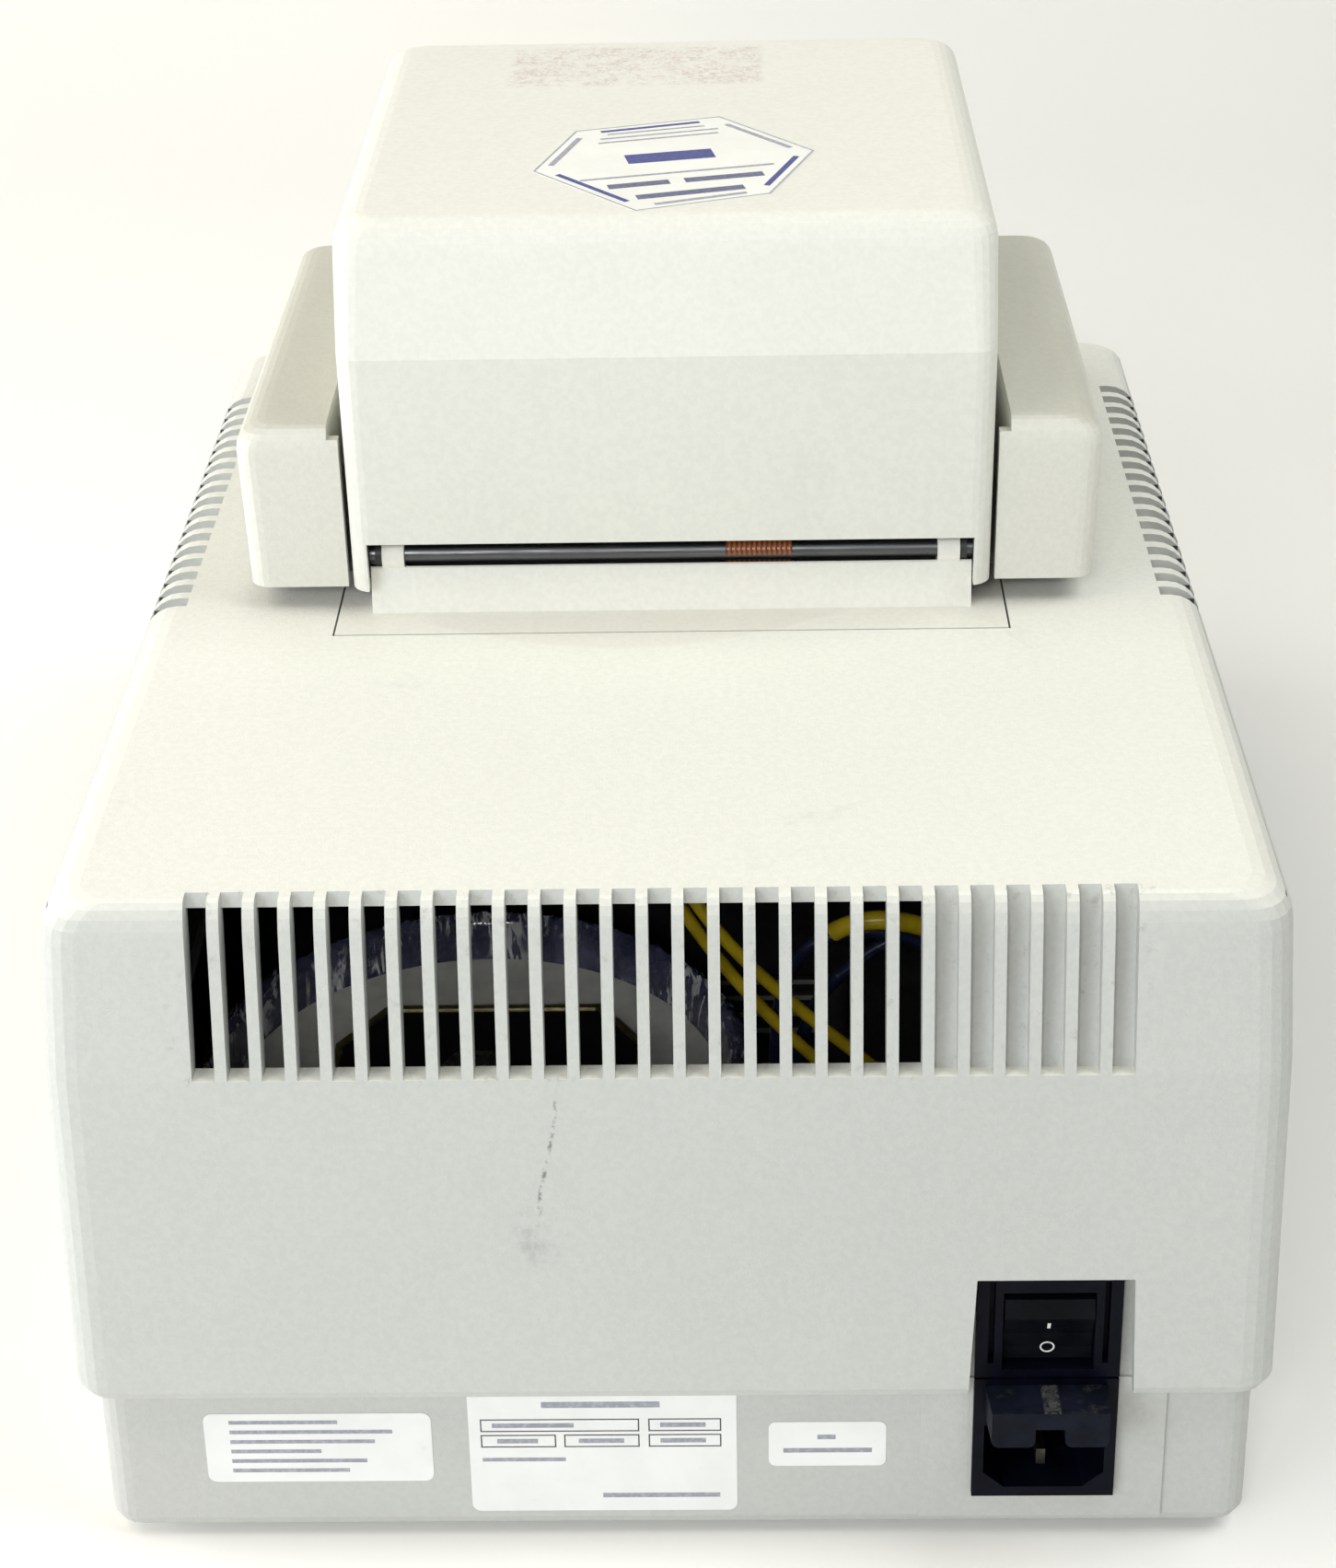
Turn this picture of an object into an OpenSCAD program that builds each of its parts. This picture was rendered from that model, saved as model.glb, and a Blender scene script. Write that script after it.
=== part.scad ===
// Bench-top thermal cycler with a hinged heated lid, a 96-well sample block and a rear power inlet.
// The back of the machine faces +Y, the operator's side faces -Y, +Z is up.
// The origin is on the table, midway between the sides and 207.5 mm in front of the cover's rear edge.
// All sizes are in mm.

/* [Housing] */
// width of the top cover
body_w = 260;
// depth of the top cover, front to back
body_d = 416.7;
// height of the cover's lower edge
cover_z0 = 43.5;
// height of the crease across the back
crease_z = 119.5;
// height of the flat deck
deck_z = 156.5;
// lean of the back below the crease, in degrees
lower_lean = 9;
// lean of the back above the crease, in degrees
upper_lean = 15.3;
// wall thickness of the moulded housings
wall = 3; // [2.4:0.1:3.2]
// radius of the vertical corners
corner_r = 8; // [6:0.5:10]

/* [Control slope] */
// front edge of the deck, where the control slope starts
slope_y = -119;
// height of the nose below the control slope
nose_z = 78;

/* [Rear grille] */
// number of slots, open ones and blind ones together
slot_count = 27;
// number of blind slots, on the power inlet's side
blind_count = 6; // [0:1:27]
// distance from slot to slot
slot_pitch = 7.31;
// middle of the row of slots, off the machine's middle
slot_mid = 0.8; // [-2:0.1:2]
// width of one slot
slot_w = 4.8; // [3.6:0.1:5.4]
// depth of a slot at the crease
slot_depth = 3.2; // [2.6:0.1:3.4]
// depth of a slot at the deck
slot_depth_top = 5.2; // [4.4:0.1:5.4]

/* [Side louvres] */
// number of louvres on each side
louvre_count = 18; // [4:1:18]
// distance from louvre to louvre
louvre_pitch = 7.5;
// width of one louvre
louvre_w = 4.4; // [3:0.1:5]

/* [Base] */
// height of the base's underside above the table
base_z0 = 2.8;
// half of the base's width
base_half_w = 126.7;
// lean of the base's rear wall, in degrees
base_lean = 5;
// diameter of one rubber foot
foot_d = 18; // [12:1:22]

/* [Lid] */
// half of the hood's width
hood_half_w = 76.7;
// height of the hood's lower edge
hood_z0 = 163;
// height of the crease across the hood's back
hood_crease_z = 222.3;
// height of the hood's top
hood_z1 = 252.2;
// back face of the hood
hood_y1 = 55.5;
// top of a side cheek
cheek_z1 = 204.3;
// diameter of the hinge rod
rod_d = 5;

/* [Sample block] */
// columns of wells
well_cols = 12;
// rows of wells
well_rows = 8;
// distance from well to well
well_pitch = 9;

/* [Hidden] */
half_w = body_w / 2;
rear_y = 207.5;
front_y = rear_y - body_d;
rear_crease_y = rear_y - (crease_z - cover_z0) * tan(lower_lean);
deck_half_w = half_w - 1.2;
slot_span = (slot_count - 1) * slot_pitch;
grille_skin = 1.5;
slope_run = slope_y - front_y - 3.5;
slope_rise = deck_z - nose_z;
slope_angle = atan2(slope_rise, slope_run);
slope_len = sqrt(slope_run * slope_run + slope_rise * slope_rise);
panel_mid = [0, slope_y - slope_run / 2, deck_z - slope_rise / 2];

inlet_x = -81;
inlet_z = 11.5;
inlet_z0 = 1.5;
inlet_z1 = 59.7;
rocker_z = 45.3;
base_rear_y0 = 204.2;
base_top = 58;

block_y = -26;
block_top = 158.5;
hinge_y = 48;
hinge_z = 169.7;
rod_r = rod_d / 2;
frame_z0 = 163.2;
frame_t = 3;
frame_z1 = frame_z0 + frame_t;
carrier_z = 190;
latch_y = -98.5;
latch_z = 181;
coil_x = 46.5;
coil_y = 130;
coil_top = 66;
fan_z = 28;
gap = 0.4;
eps = 0.01;
arc_steps = 5;

column_pts = [[118, 158], [-118, 158], [118, -158], [-118, -158]];
foot_pts = [[104, 178], [-104, 178], [104, -176], [-104, -176]];
fan_hole_pts = [[41.25, 41.25], [-41.25, 41.25], [41.25, -41.25], [-41.25, -41.25]];
pillar_pts = [[76, 30], [-76, 30], [76, -30], [-76, -30]];
clamp_pts = [[63.5, 30], [-63.5, 30], [63.5, -30], [-63.5, -30]];
guide_pts = [[48, 28], [-48, 28], [48, -28], [-48, -28]];
post_pts = [[67, 38], [-67, 38], [67, -38], [-67, -38]];
hood_screw_pts = [[70, -88], [-70, -88], [70, 34], [-70, 34]];
cheek_screw_pts = [[91, -60], [91, 30]];

// keys on the control slope: name, x and y on the slope
key_size = [13, 9];
key_travel = 0.8;

// ---------- helpers ----------

function corner_arc(x, y, r, start) =
    [for (i = [0 : arc_steps]) let (a = start + 90 * i / arc_steps) [x + r * cos(a), y + r * sin(a)]];

// one rounded rectangle, counter-clockwise from above
function outline(x0, x1, y0, y1, r) = concat(
    corner_arc(x1 - r, y1 - r, r, 0),
    corner_arc(x0 + r, y1 - r, r, 90),
    corner_arc(x0 + r, y0 + r, r, 180),
    corner_arc(x1 - r, y0 + r, r, 270)
);

// skins a stack of levels, each [z, x0, x1, y0, y1, r]
module loft(levels) {
    n = 4 * (arc_steps + 1);
    pts = [for (l = levels) for (p = outline(l[1], l[2], l[3], l[4], l[5])) [p[0], p[1], l[0]]];
    last = (len(levels) - 1) * n;
    sides = [
        for (k = [0 : len(levels) - 2]) for (i = [0 : n - 1])
            let (a = k * n + i, b = k * n + (i + 1) % n)
                each [[a, a + n, b + n], [a, b + n, b]]
    ];
    polyhedron(
        points = pts,
        faces = concat([[for (i = [0 : n - 1]) i]], sides, [[for (i = [n - 1 : -1 : 0]) last + i]])
    );
}

// a round wire through a list of points
module wire(path, r) {
    n = 8;
    m = len(path);
    function heading(i) =
        let (d = path[min(i + 1, m - 1)] - path[max(i - 1, 0)]) d / norm(d);
    function ring(i) =
        let (t = heading(i), u = cross(t, [0.3, 0.2, 0.93]), s = u / norm(u), w = cross(t, s))
            [for (k = [0 : n - 1]) path[i] + r * (cos(360 * k / n) * s + sin(360 * k / n) * w)];
    sides = [
        for (i = [0 : m - 2]) for (k = [0 : n - 1])
            let (a = i * n + k, b = i * n + (k + 1) % n) each [[a, b, b + n], [a, b + n, a + n]]
    ];
    polyhedron(
        points = [for (i = [0 : m - 1]) each ring(i)],
        faces = concat([[for (k = [n - 1 : -1 : 0]) k]], sides, [[for (k = [0 : n - 1]) (m - 1) * n + k]])
    );
}

// a smooth path between four control points
function curve(a, b, c, d, steps = 12) =
    [for (i = [0 : steps]) let (t = i / steps, s = 1 - t)
        s * s * s * a + 3 * s * s * t * b + 3 * s * t * t * c + t * t * t * d];

module slab(size, at) {
    translate([at[0] - size[0] / 2, at[1] - size[1] / 2, at[2]]) cube(size);
}

module rod(r, h, at) {
    translate(at) cylinder(r = r, h = h, $fn = 32);
}

module rod_x(r, x0, x1, y, z) {
    translate([x0, y, z]) rotate([0, 90, 0]) cylinder(r = r, h = x1 - x0, $fn = 32);
}

// a prism with its profile drawn in the Y-Z plane
module prism_x(x0, x1, profile) {
    translate([x0, 0, 0]) rotate([90, 0, 90]) linear_extrude(x1 - x0) polygon(profile);
}

// local frame on the base's leaning rear wall: x to +X, y out of the wall, z up the wall
module on_rear_wall() {
    y = base_rear_y0 - (inlet_z - base_z0) * tan(base_lean);
    translate([inlet_x, y, inlet_z]) rotate([base_lean, 0, 0]) children();
}

// local frame on the control slope: x to +X, y up the slope, z out of the slope
module on_slope() {
    translate(panel_mid) rotate([slope_angle, 0, 0]) children();
}

// ---------- top cover ----------

function cover_rear(z) =
    z <= crease_z
        ? rear_y - (z - cover_z0) * tan(lower_lean)
        : rear_crease_y - (z - crease_z) * tan(upper_lean);
function cover_front(z) =
    z <= nose_z - 8 ? front_y + (nose_z - 8 - z) * tan(4)
    : z <= nose_z ? front_y + 3.5 * pow((z - nose_z + 8) / 8, 2)
    : front_y + 3.5 + (z - nose_z) * slope_run / slope_rise;
function cover_side(z) = z <= crease_z ? half_w : half_w - 1.2 * (z - crease_z) / (deck_z - crease_z);

function cover_level(z, side, rear, front, r) =
    [z, -cover_side(z) + side, cover_side(z) - side, cover_front(z) + front, cover_rear(z) - rear, r];

module cover_solid(inset = 0) {
    edge_r = 8;
    lower = [for (z = [cover_z0 + 2, nose_z - 8, nose_z - 4, nose_z, crease_z]) z];
    loft(concat(
        [cover_level(cover_z0, 1 + inset, 1 + inset, 1 + inset, corner_r)],
        [for (z = lower) cover_level(z, inset, inset, inset, corner_r)],
        [for (a = [0 : 18 : 90])
            cover_level(
                deck_z - inset - edge_r + edge_r * sin(a),
                inset + edge_r * (1 - cos(a)),
                inset + 2.5 * (1 - cos(a)),
                inset + 3 * (1 - cos(a)),
                corner_r
            )]
    ));
}

module cover_cavity() {
    loft([
        cover_level(cover_z0 - 1, wall, wall, wall, 5),
        cover_level(nose_z - 8, wall, wall, wall, 5),
        cover_level(nose_z, wall, wall, wall + 1, 5),
        cover_level(crease_z - 6, wall, wall, wall + 1, 5),
        cover_level(crease_z - 2, wall, slot_depth + grille_skin, wall + 1, 5),
        cover_level(deck_z - wall - 5, wall + 1, slot_depth_top + grille_skin - 0.2, wall + 1, 5),
        cover_level(deck_z - wall, wall + 6, slot_depth_top + grille_skin, wall + 1, 5)
    ]);
}

// one slot of the rear grille, cut from the crease up through the deck's edge
module grille_slot() {
    top_y = cover_rear(deck_z);
    prism_x(-slot_w / 2, slot_w / 2, [
        [rear_crease_y + 5, crease_z],
        [rear_crease_y - slot_depth, crease_z],
        [top_y - slot_depth_top, deck_z + 1],
        [top_y + 5, deck_z + 1]
    ]);
}

// the opening behind one slot
module grille_window() {
    low_y = rear_crease_y;
    top_z = deck_z - wall - 0.1;
    high_y = cover_rear(top_z);
    prism_x(-slot_w / 2, slot_w / 2, [
        [low_y - slot_depth + 1, crease_z + eps],
        [low_y - slot_depth - 8, crease_z + eps],
        [high_y - slot_depth_top - 8, top_z],
        [high_y - slot_depth_top + 1, top_z]
    ]);
}

module grille_cuts() {
    for (i = [0 : slot_count - 1]) {
        translate([slot_mid - slot_span / 2 + i * slot_pitch, 0, 0]) {
            grille_slot();
            if (i >= blind_count) {
                grille_window();
            }
        }
    }
}

module louvre_cuts() {
    first_y = 46.5;
    for (side = [-1, 1]) {
        difference() {
            for (i = [0 : louvre_count - 1]) {
                slab([14, louvre_w, 17], [side * 125.5, first_y - i * louvre_pitch, 140]);
            }
            cover_solid(2.3);
        }
        for (i = [0 : louvre_count - 1]) {
            slab([8, louvre_w - 1.2, 5], [side * 127, first_y - i * louvre_pitch, 141.5]);
        }
    }
}

module inlet_notch() {
    on_rear_wall() {
        translate([0, 20, 0]) rotate([90, 0, 0]) linear_extrude(23)
            polygon([[-18.3, 26], [17.6, 26], [15.9, 60.1], [-17.5, 60.1]]);
    }
}

module panel_opening() {
    on_slope() {
        translate([-98, -41, -1.2]) cube([196, 82, 10]);
        translate([-92, -35, -8]) cube([184, 70, 10]);
    }
}

module cover_columns() {
    intersection() {
        union() {
            for (p = column_pts) {
                rod(5.5, deck_z - base_top, [p[0], p[1], base_top + 0.3]);
                slab([10, 2, deck_z - 70], [sign(p[0]) * 123.5, p[1], 70]);
            }
        }
        cover_solid(1);
    }
}

module top_cover() {
    color([0.84, 0.84, 0.80])
    difference() {
        union() {
            difference() {
                cover_solid();
                cover_cavity();
            }
            cover_columns();
        }
        grille_cuts();
        louvre_cuts();
        inlet_notch();
        panel_opening();
        slab([161.8, 166.1, 12], [0, -17.45, deck_z - 6]);
        for (p = column_pts) {
            rod(2.05, 22, [p[0], p[1], base_top]);
        }
    }
}

module cover_screws() {
    color([0.65, 0.65, 0.66])
    for (p = column_pts) {
        rod(3.6, 2.4, [p[0], p[1], base_z0 + 0.4]);
        rod(2, 68, [p[0], p[1], base_z0 + 1]);
    }
}

// ---------- base ----------

function base_rear(z) = base_rear_y0 - (z - base_z0) * tan(base_lean);

function base_level(z, inset, r) =
    [z, -base_half_w + inset, base_half_w - inset, -201.5 + inset, base_rear(z) - inset, r];

module base_shell() {
    difference() {
        loft([
            base_level(base_z0, 3, 5),
            base_level(base_z0 + 1.2, 0.9, 6),
            base_level(base_z0 + 3.4, 0, 6),
            base_level(base_top, 0, 6)
        ]);
        loft([base_level(base_z0 + 3, wall - 0.4, 4), base_level(base_top + 1, wall - 0.4, 4)]);
    }
}

module inlet_bay() {
    on_rear_wall() {
        translate([-26.5, -2.6, -8]) cube([53.5, 3.2, 40]);
        translate([-22, -2.6, 30]) cube([44, 2.6, 36]);
    }
}

module floor_vents() {
    for (y = [-66 : 8 : 14]) {
        slab([76, 4, 8], [0, y, base_z0 - 2]);
    }
}

module base_tub() {
    color([0.80, 0.81, 0.79])
    difference() {
        union() {
            base_shell();
            intersection() {
                inlet_bay();
                slab([300, 500, 90], [0, 0, base_z0 + 3.4]);
            }
            for (p = column_pts) {
                rod(5.5, base_top - base_z0 - 2, [p[0], p[1], base_z0 + 2]);
            }
            for (p = fan_hole_pts) {
                rod(4.5, fan_z - base_z0 - 2, [p[0], p[1] + block_y, base_z0 + 2]);
            }
        }
        floor_vents();
        on_rear_wall() {
            translate([-14.2, -10, inlet_z0 + 0.5]) cube([28.4, 20, inlet_z1 - inlet_z0 - 1.4]);
        }
        for (p = column_pts) {
            rod(2.2, 80, [p[0], p[1], 0]);
            rod(3.9, 3, [p[0], p[1], base_z0 - 0.1]);
        }
        for (p = foot_pts) {
            rod(3.1, 10, [p[0], p[1], 0]);
        }
        for (p = fan_hole_pts) {
            rod(1.55, 14, [p[0], p[1] + block_y, fan_z - 12]);
        }
    }
}

module rubber_feet() {
    color([0.09, 0.09, 0.09])
    for (p = foot_pts) {
        translate([p[0], p[1], 0]) cylinder(r1 = foot_d / 2 - 1, r2 = foot_d / 2, h = base_z0, $fn = 48);
        rod(3, 5.5, [p[0], p[1], base_z0 - 0.5]);
    }
}

// ---------- deck and hinge ----------

module deck_insert() {
    color([0.88, 0.87, 0.83])
    difference() {
        slab([160.8, 165.1, wall], [0, -17.45, deck_z - wall]);
        slab([113, 77, 10], [0, block_y, deck_z - 5]);
        for (side = [-1, 1]) {
            slab([2.2, 10, 10], [side * 70.35, hinge_y - 0.5, deck_z - 5]);
            rod(2.05, 10, [side * 24, -92, deck_z - 5]);
        }
        slab([17.5, 2.4, 10], [-21.25, hinge_y - 6.2, deck_z - 5]);
    }
}

module block_collar() {
    color([0.25, 0.26, 0.28])
    difference() {
        union() {
            slab([119, 83, 1.4], [0, block_y, deck_z]);
            slab([112.6, 76.6, 4], [0, block_y, deck_z - 3.5]);
        }
        slab([110.8, 74.8, 12], [0, block_y, deck_z - 6]);
    }
}

// the pale strip behind the rod, with two eyes that clip over the rod
module hinge_strip() {
    color([0.93, 0.93, 0.90])
    difference() {
        union() {
            prism_x(-72.3, 72.3, [
                [hinge_y + 5.8, deck_z],
                [hinge_y + 3.4, hinge_z - 2.3],
                [hinge_y + 3, hinge_z - 2],
                [hinge_y + 2.4, hinge_z - 2.3],
                [hinge_y + 4.2, deck_z + 1.8],
                [hinge_y - 3, deck_z + 1.8],
                [hinge_y - 3, deck_z]
            ]);
            for (side = [-1, 1]) {
                rod_x(4.1, side * 66.75 - 2.65, side * 66.75 + 2.65, hinge_y, hinge_z);
                translate([side * 66.75 - 2.65, hinge_y - 2, deck_z + 1])
                    cube([5.3, 5.2, hinge_z - deck_z - 1]);
            }
        }
        rod_x(rod_r, -73, 73, hinge_y, hinge_z);
        for (side = [-1, 1]) {
            slab([2.2, 10.2, 20], [side * 70.35, hinge_y - 2.4, deck_z - 5]);
        }
    }
}

module hinge_rod() {
    color([0.62, 0.63, 0.65])
    rod_x(rod_r, -74, 74, hinge_y, hinge_z);
}

module hinge_brackets() {
    color([0.35, 0.36, 0.38])
    for (side = [-1, 1]) {
        difference() {
            union() {
                rod_x(3.3, side * 70.35 - 0.75, side * 70.35 + 0.75, hinge_y, hinge_z);
                translate([side * 70.35 - 0.75, hinge_y - 4, deck_z - 4.5])
                    cube([1.5, 6.2, hinge_z - deck_z + 4.5]);
                slab([12, 14, 1.5], [side * 65.1, hinge_y - 4, deck_z - 4.5]);
            }
            rod_x(rod_r, -80, 80, hinge_y, hinge_z);
        }
    }
}

// flat ribbon that comes up through the deck and loops over the rod
module flex_cable() {
    color([0.55, 0.27, 0.12])
    difference() {
        union() {
            rod_x(3.2, -29.2, -13.3, hinge_y, hinge_z);
            translate([-29.2, hinge_y - 6.4, deck_z - 12]) cube([15.9, 0.5, 20]);
            translate([-29.2, hinge_y - 6.4, deck_z + 7.6]) cube([15.9, 3.7, 0.5]);
            translate([-29.2, hinge_y - 3.2, deck_z + 7.6]) cube([15.9, 0.5, hinge_z - deck_z - 7.6]);
        }
        rod_x(2.7, -40, 0, hinge_y, hinge_z);
        translate([-40, hinge_y - 2.7, deck_z + 8.1]) cube([40, 10, hinge_z - deck_z - 8.1]);
    }
}

module latch_strike() {
    color([0.68, 0.69, 0.70])
    union() {
        rod_x(1.5, -24, 24, -92, deck_z + 5.1);
        for (side = [-1, 1]) {
            rod(2, 10, [side * 24, -92, deck_z - 3.4]);
        }
    }
}

// ---------- power inlet ----------

module inlet_housing() {
    color([0.05, 0.05, 0.08])
    on_rear_wall() {
        difference() {
            union() {
                translate([-15.6, 0.6, inlet_z0]) cube([31.2, 1.8, inlet_z1 - inlet_z0]);
                translate([-14, -33, inlet_z0 + 0.7]) cube([28, 33.7, inlet_z1 - inlet_z0 - 1.8]);
            }
            translate([-9.9, -14, rocker_z - 9.9]) cube([19.8, 30, 19.8]);
            rod_x(1.55, -11.6, 11.6, -3, rocker_z);
            translate([-11.8, -30, 22.6]) cube([23.6, 40, 8.8]);
            translate([0, 12, 0]) rotate([90, 0, 0]) linear_extrude(30) polygon([
                [-13.2, 7.9], [-8.6, 4], [8.6, 4], [13.2, 7.9], [13.2, 20.6], [-13.2, 20.6]
            ]);
            for (p = [[0, 7.9], [-7, 14.5], [7, 14.5]]) {
                translate([p[0] - 1, -40, p[1] - 2]) cube([2, 30, 4]);
            }
            for (side = [-1, 1]) {
                translate([side * 12.3 - 0.65, -0.6, 37]) cube([1.3, 6, 21]);
            }
            translate([-16, 1.7, 32.8]) cube([32, 4, 0.6]);
        }
    }
}

module inlet_pins() {
    color([0.72, 0.71, 0.66])
    on_rear_wall() {
        for (p = [[0, 7.9, -3.2], [-7, 14.5, -7], [7, 14.5, -7]]) {
            translate([p[0] - 1, -38, p[1] - 2]) cube([2, 38 + p[2], 4]);
        }
    }
}

module inlet_terminals() {
    color([0.74, 0.70, 0.45])
    on_rear_wall() {
        for (x = [-7.5, -2.5, 2.5, 7.5]) {
            translate([x - 0.4, -41, 49]) cube([0.8, 8, 6.3]);
        }
    }
}

module rocker_switch() {
    color([0.04, 0.04, 0.05])
    on_rear_wall() {
        translate([0, -3, rocker_z]) {
            prism_x(-9.6, 9.6, [
                [5.4, 8.2], [6.4, 3.8], [4.9, 1.2], [3.8, -1.6], [3.1, -5.6], [2.9, -8.6],
                [-3, -7.6], [-5.6, 0], [-3, 7.6]
            ]);
            rod_x(1.5, -11.2, 11.2, 0, 0);
        }
    }
}

// the drawer's grip, seen from outside: rounded at the bottom, with a notch for a fingernail
module drawer_grip() {
    intersection() {
        offset(r = 1.6, $fn = 24) offset(delta = -1.6) difference() {
            translate([-12.6, 22.5]) square([25.2, 14]);
            translate([-3.2, 20]) square([6.4, 7.1]);
        }
        translate([-13, 20]) square([26, 11.3]);
    }
}

module fuse_drawer() {
    color([0.06, 0.06, 0.09])
    on_rear_wall() {
        difference() {
            union() {
                translate([0, 12.6, 0]) rotate([90, 0, 0]) linear_extrude(10.1, scale = [1.056, 1])
                    drawer_grip();
                translate([-11.6, -27, 22.8]) cube([23.2, 30, 8.4]);
            }
            for (side = [-1, 1]) {
                translate([side * 5.6 - 2.8, -25.5, 24.5]) cube([5.6, 22, 9]);
            }
        }
    }
}

module fuses() {
    color([0.78, 0.78, 0.76])
    on_rear_wall() {
        for (side = [-1, 1]) {
            translate([side * 5.6, -4.5, 27.2]) rotate([90, 0, 0]) cylinder(r = 2.5, h = 20, $fn = 32);
        }
    }
}

// ---------- transformer ----------

module on_coil() {
    translate([coil_x, coil_y, 0]) children();
}

module coil_pad() {
    color([0.10, 0.10, 0.10])
    on_coil() rotate_extrude($fn = 72) translate([6, base_z0 + 3]) square([50, 3.2]);
}

// the windings bulge up round the washer that holds them down
module transformer_coil() {
    color([0.10, 0.11, 0.20])
    on_coil() rotate_extrude($fn = 72) translate([20, 9]) polygon([
        [9, 0], [36, 0], [43, 3], [47, 12], [46.3, 40], [46.3, 58], [45.8, 66], [44, 70],
        [41.8, 71.2], [39.8, 69.6], [38.6, 64], [38.2, 57], [9, 57], [3, 54], [0, 48], [0, 9], [3, 3]
    ]);
}

module coil_washer() {
    color([0.45, 0.46, 0.46])
    on_coil() rotate_extrude($fn = 72) polygon([
        [5.2, coil_top], [52, coil_top], [58, coil_top + 0.9], [58, coil_top + 2.1], [51, coil_top + 1.4],
        [5.2, coil_top + 1.4]
    ]);
}

module coil_plate() {
    color([0.05, 0.05, 0.05])
    on_coil() translate([-2, 0, coil_top + 1.4]) linear_extrude(2) difference() {
        polygon([[-26, -35], [26, -35], [37, -19], [37, 19], [26, 35], [-26, 35], [-37, 19], [-37, -19]]);
        translate([2, 0]) circle(r = 5.4, $fn = 32);
    }
}

module coil_bolt() {
    color([0.70, 0.70, 0.68])
    on_coil() {
        rod(5, 62, [0, 0, base_z0 + 3.2]);
        translate([0, 0, coil_top + 3.4]) cylinder(r = 9, h = 6, $fn = 6);
    }
}

// ---------- wiring and boards ----------

// from the inlet's terminals, up past the grille, then forward to the heat sink
function earth_path(terminal, rise, x, y) = concat(
    curve([terminal, 156, 63], [x - 36, 146, rise], [x - 12, y, 116], [x, y, 142]),
    curve([x, y, 142], [x + 3, y, 149], [x + 8, 60, 112], [x + 8, 20.4, 112])
);

module earth_wires() {
    color([0.80, 0.68, 0.05])
    union() {
        wire(earth_path(-73.5, 80, 2, 150), 1.5);
        wire(earth_path(-78.5, 94, -3, 153.4), 1.5);
        wire(curve([-36, 152, 127], [-44, 155, 134], [-52, 155, 132], [-62, 150, 124]), 2.2);
    }
}

// from the inlet's terminals to the side of the transformer, and one to the power board
module mains_wires() {
    color([0.05, 0.07, 0.16])
    union() {
        wire(concat(
            curve([-83.5, 156, 60], [-84, 140, 96], [-60, 144, 130], [-34, 144, 120]),
            curve([-34, 144, 120], [-20, 144, 114], [-24, 140, 80], [-24, 138, 40])
        ), 1.6);
        wire(concat(
            curve([-88.5, 156, 61.5], [-86, 132, 110], [-58, 136, 128], [-40, 138, 108]),
            curve([-40, 138, 108], [-27, 138, 98], [-27, 133, 70], [-27, 131, 36])
        ), 1.6);
        wire(curve([-88.5, 156, 57], [-91, 142, 58], [-84, 130, 50], [-84, 126, 21]), 1.6);
    }
}

module power_board() {
    color([0.10, 0.30, 0.16])
    difference() {
        slab([84, 84, 1.6], [-70, 108, 18]);
        for (x = [-108, -32]) for (y = [70, 146]) {
            rod(1.7, 6, [x, y, 15]);
        }
    }
}

module power_parts() {
    color([0.12, 0.13, 0.16])
    union() {
        for (y = [82, 104, 126]) {
            rod(10, 34, [-98, y, 19.6]);
        }
        slab([6, 70, 30], [-74, 106, 19.6]);
        slab([24, 22, 18], [-50, 90, 19.6]);
        slab([18, 26, 14], [-46, 122, 19.6]);
    }
}

module board_standoffs() {
    color([0.66, 0.64, 0.55])
    union() {
        for (x = [-108, -32]) for (y = [70, 146]) {
            rod(3, 12.2, [x, y, base_z0 + 3]);
            rod(1.6, 16, [x, y, base_z0 + 4]);
        }
        for (x = [-92, 92]) for (y = [-186, -104]) {
            rod(3, 10.2, [x, y, base_z0 + 3]);
            rod(1.6, 14, [x, y, base_z0 + 4]);
        }
    }
}

module main_board() {
    color([0.08, 0.28, 0.18])
    difference() {
        slab([200, 96, 1.6], [0, -145, 16]);
        for (x = [-92, 92]) for (y = [-186, -104]) {
            rod(1.7, 6, [x, y, 14]);
        }
    }
}

module main_parts() {
    color([0.08, 0.08, 0.09])
    union() {
        slab([34, 34, 3], [-30, -150, 17.6]);
        slab([22, 12, 3], [16, -164, 17.6]);
        slab([22, 12, 3], [16, -140, 17.6]);
        slab([46, 9, 9], [-50, -112, 17.6]);
        for (x = [50, 68]) {
            rod(6.5, 18, [x, -130, 17.6]);
        }
    }
}

// ---------- sample block, cooling ----------

module sample_block() {
    color([0.72, 0.73, 0.75])
    translate([0, block_y, 0]) difference() {
        union() {
            slab([136, 84, 6.2], [0, 0, 119.8]);
            slab([110, 74, block_top - 126 + eps], [0, 0, 126 - eps]);
        }
        for (i = [0 : well_cols - 1]) for (j = [0 : well_rows - 1]) {
            x = (i - (well_cols - 1) / 2) * well_pitch;
            y = (j - (well_rows - 1) / 2) * well_pitch;
            translate([x, y, block_top - 16])
                cylinder(r1 = 1.3, r2 = 3.1, h = 16.02, $fn = 24);
        }
        for (p = clamp_pts) {
            rod(1.7, 12, [p[0], p[1], 116]);
        }
    }
}

module block_screws() {
    color([0.60, 0.60, 0.62])
    for (p = clamp_pts) {
        rod(3, 2, [p[0], p[1] + block_y, 126]);
        rod(1.6, 18, [p[0], p[1] + block_y, 109]);
    }
}

module peltier_modules() {
    color([0.90, 0.89, 0.86])
    for (i = [-1 : 1]) for (j = [-0.5, 0.5]) {
        slab([39, 39, 3.8], [i * 39.8, block_y + j * 39.8, 116]);
    }
}

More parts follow.
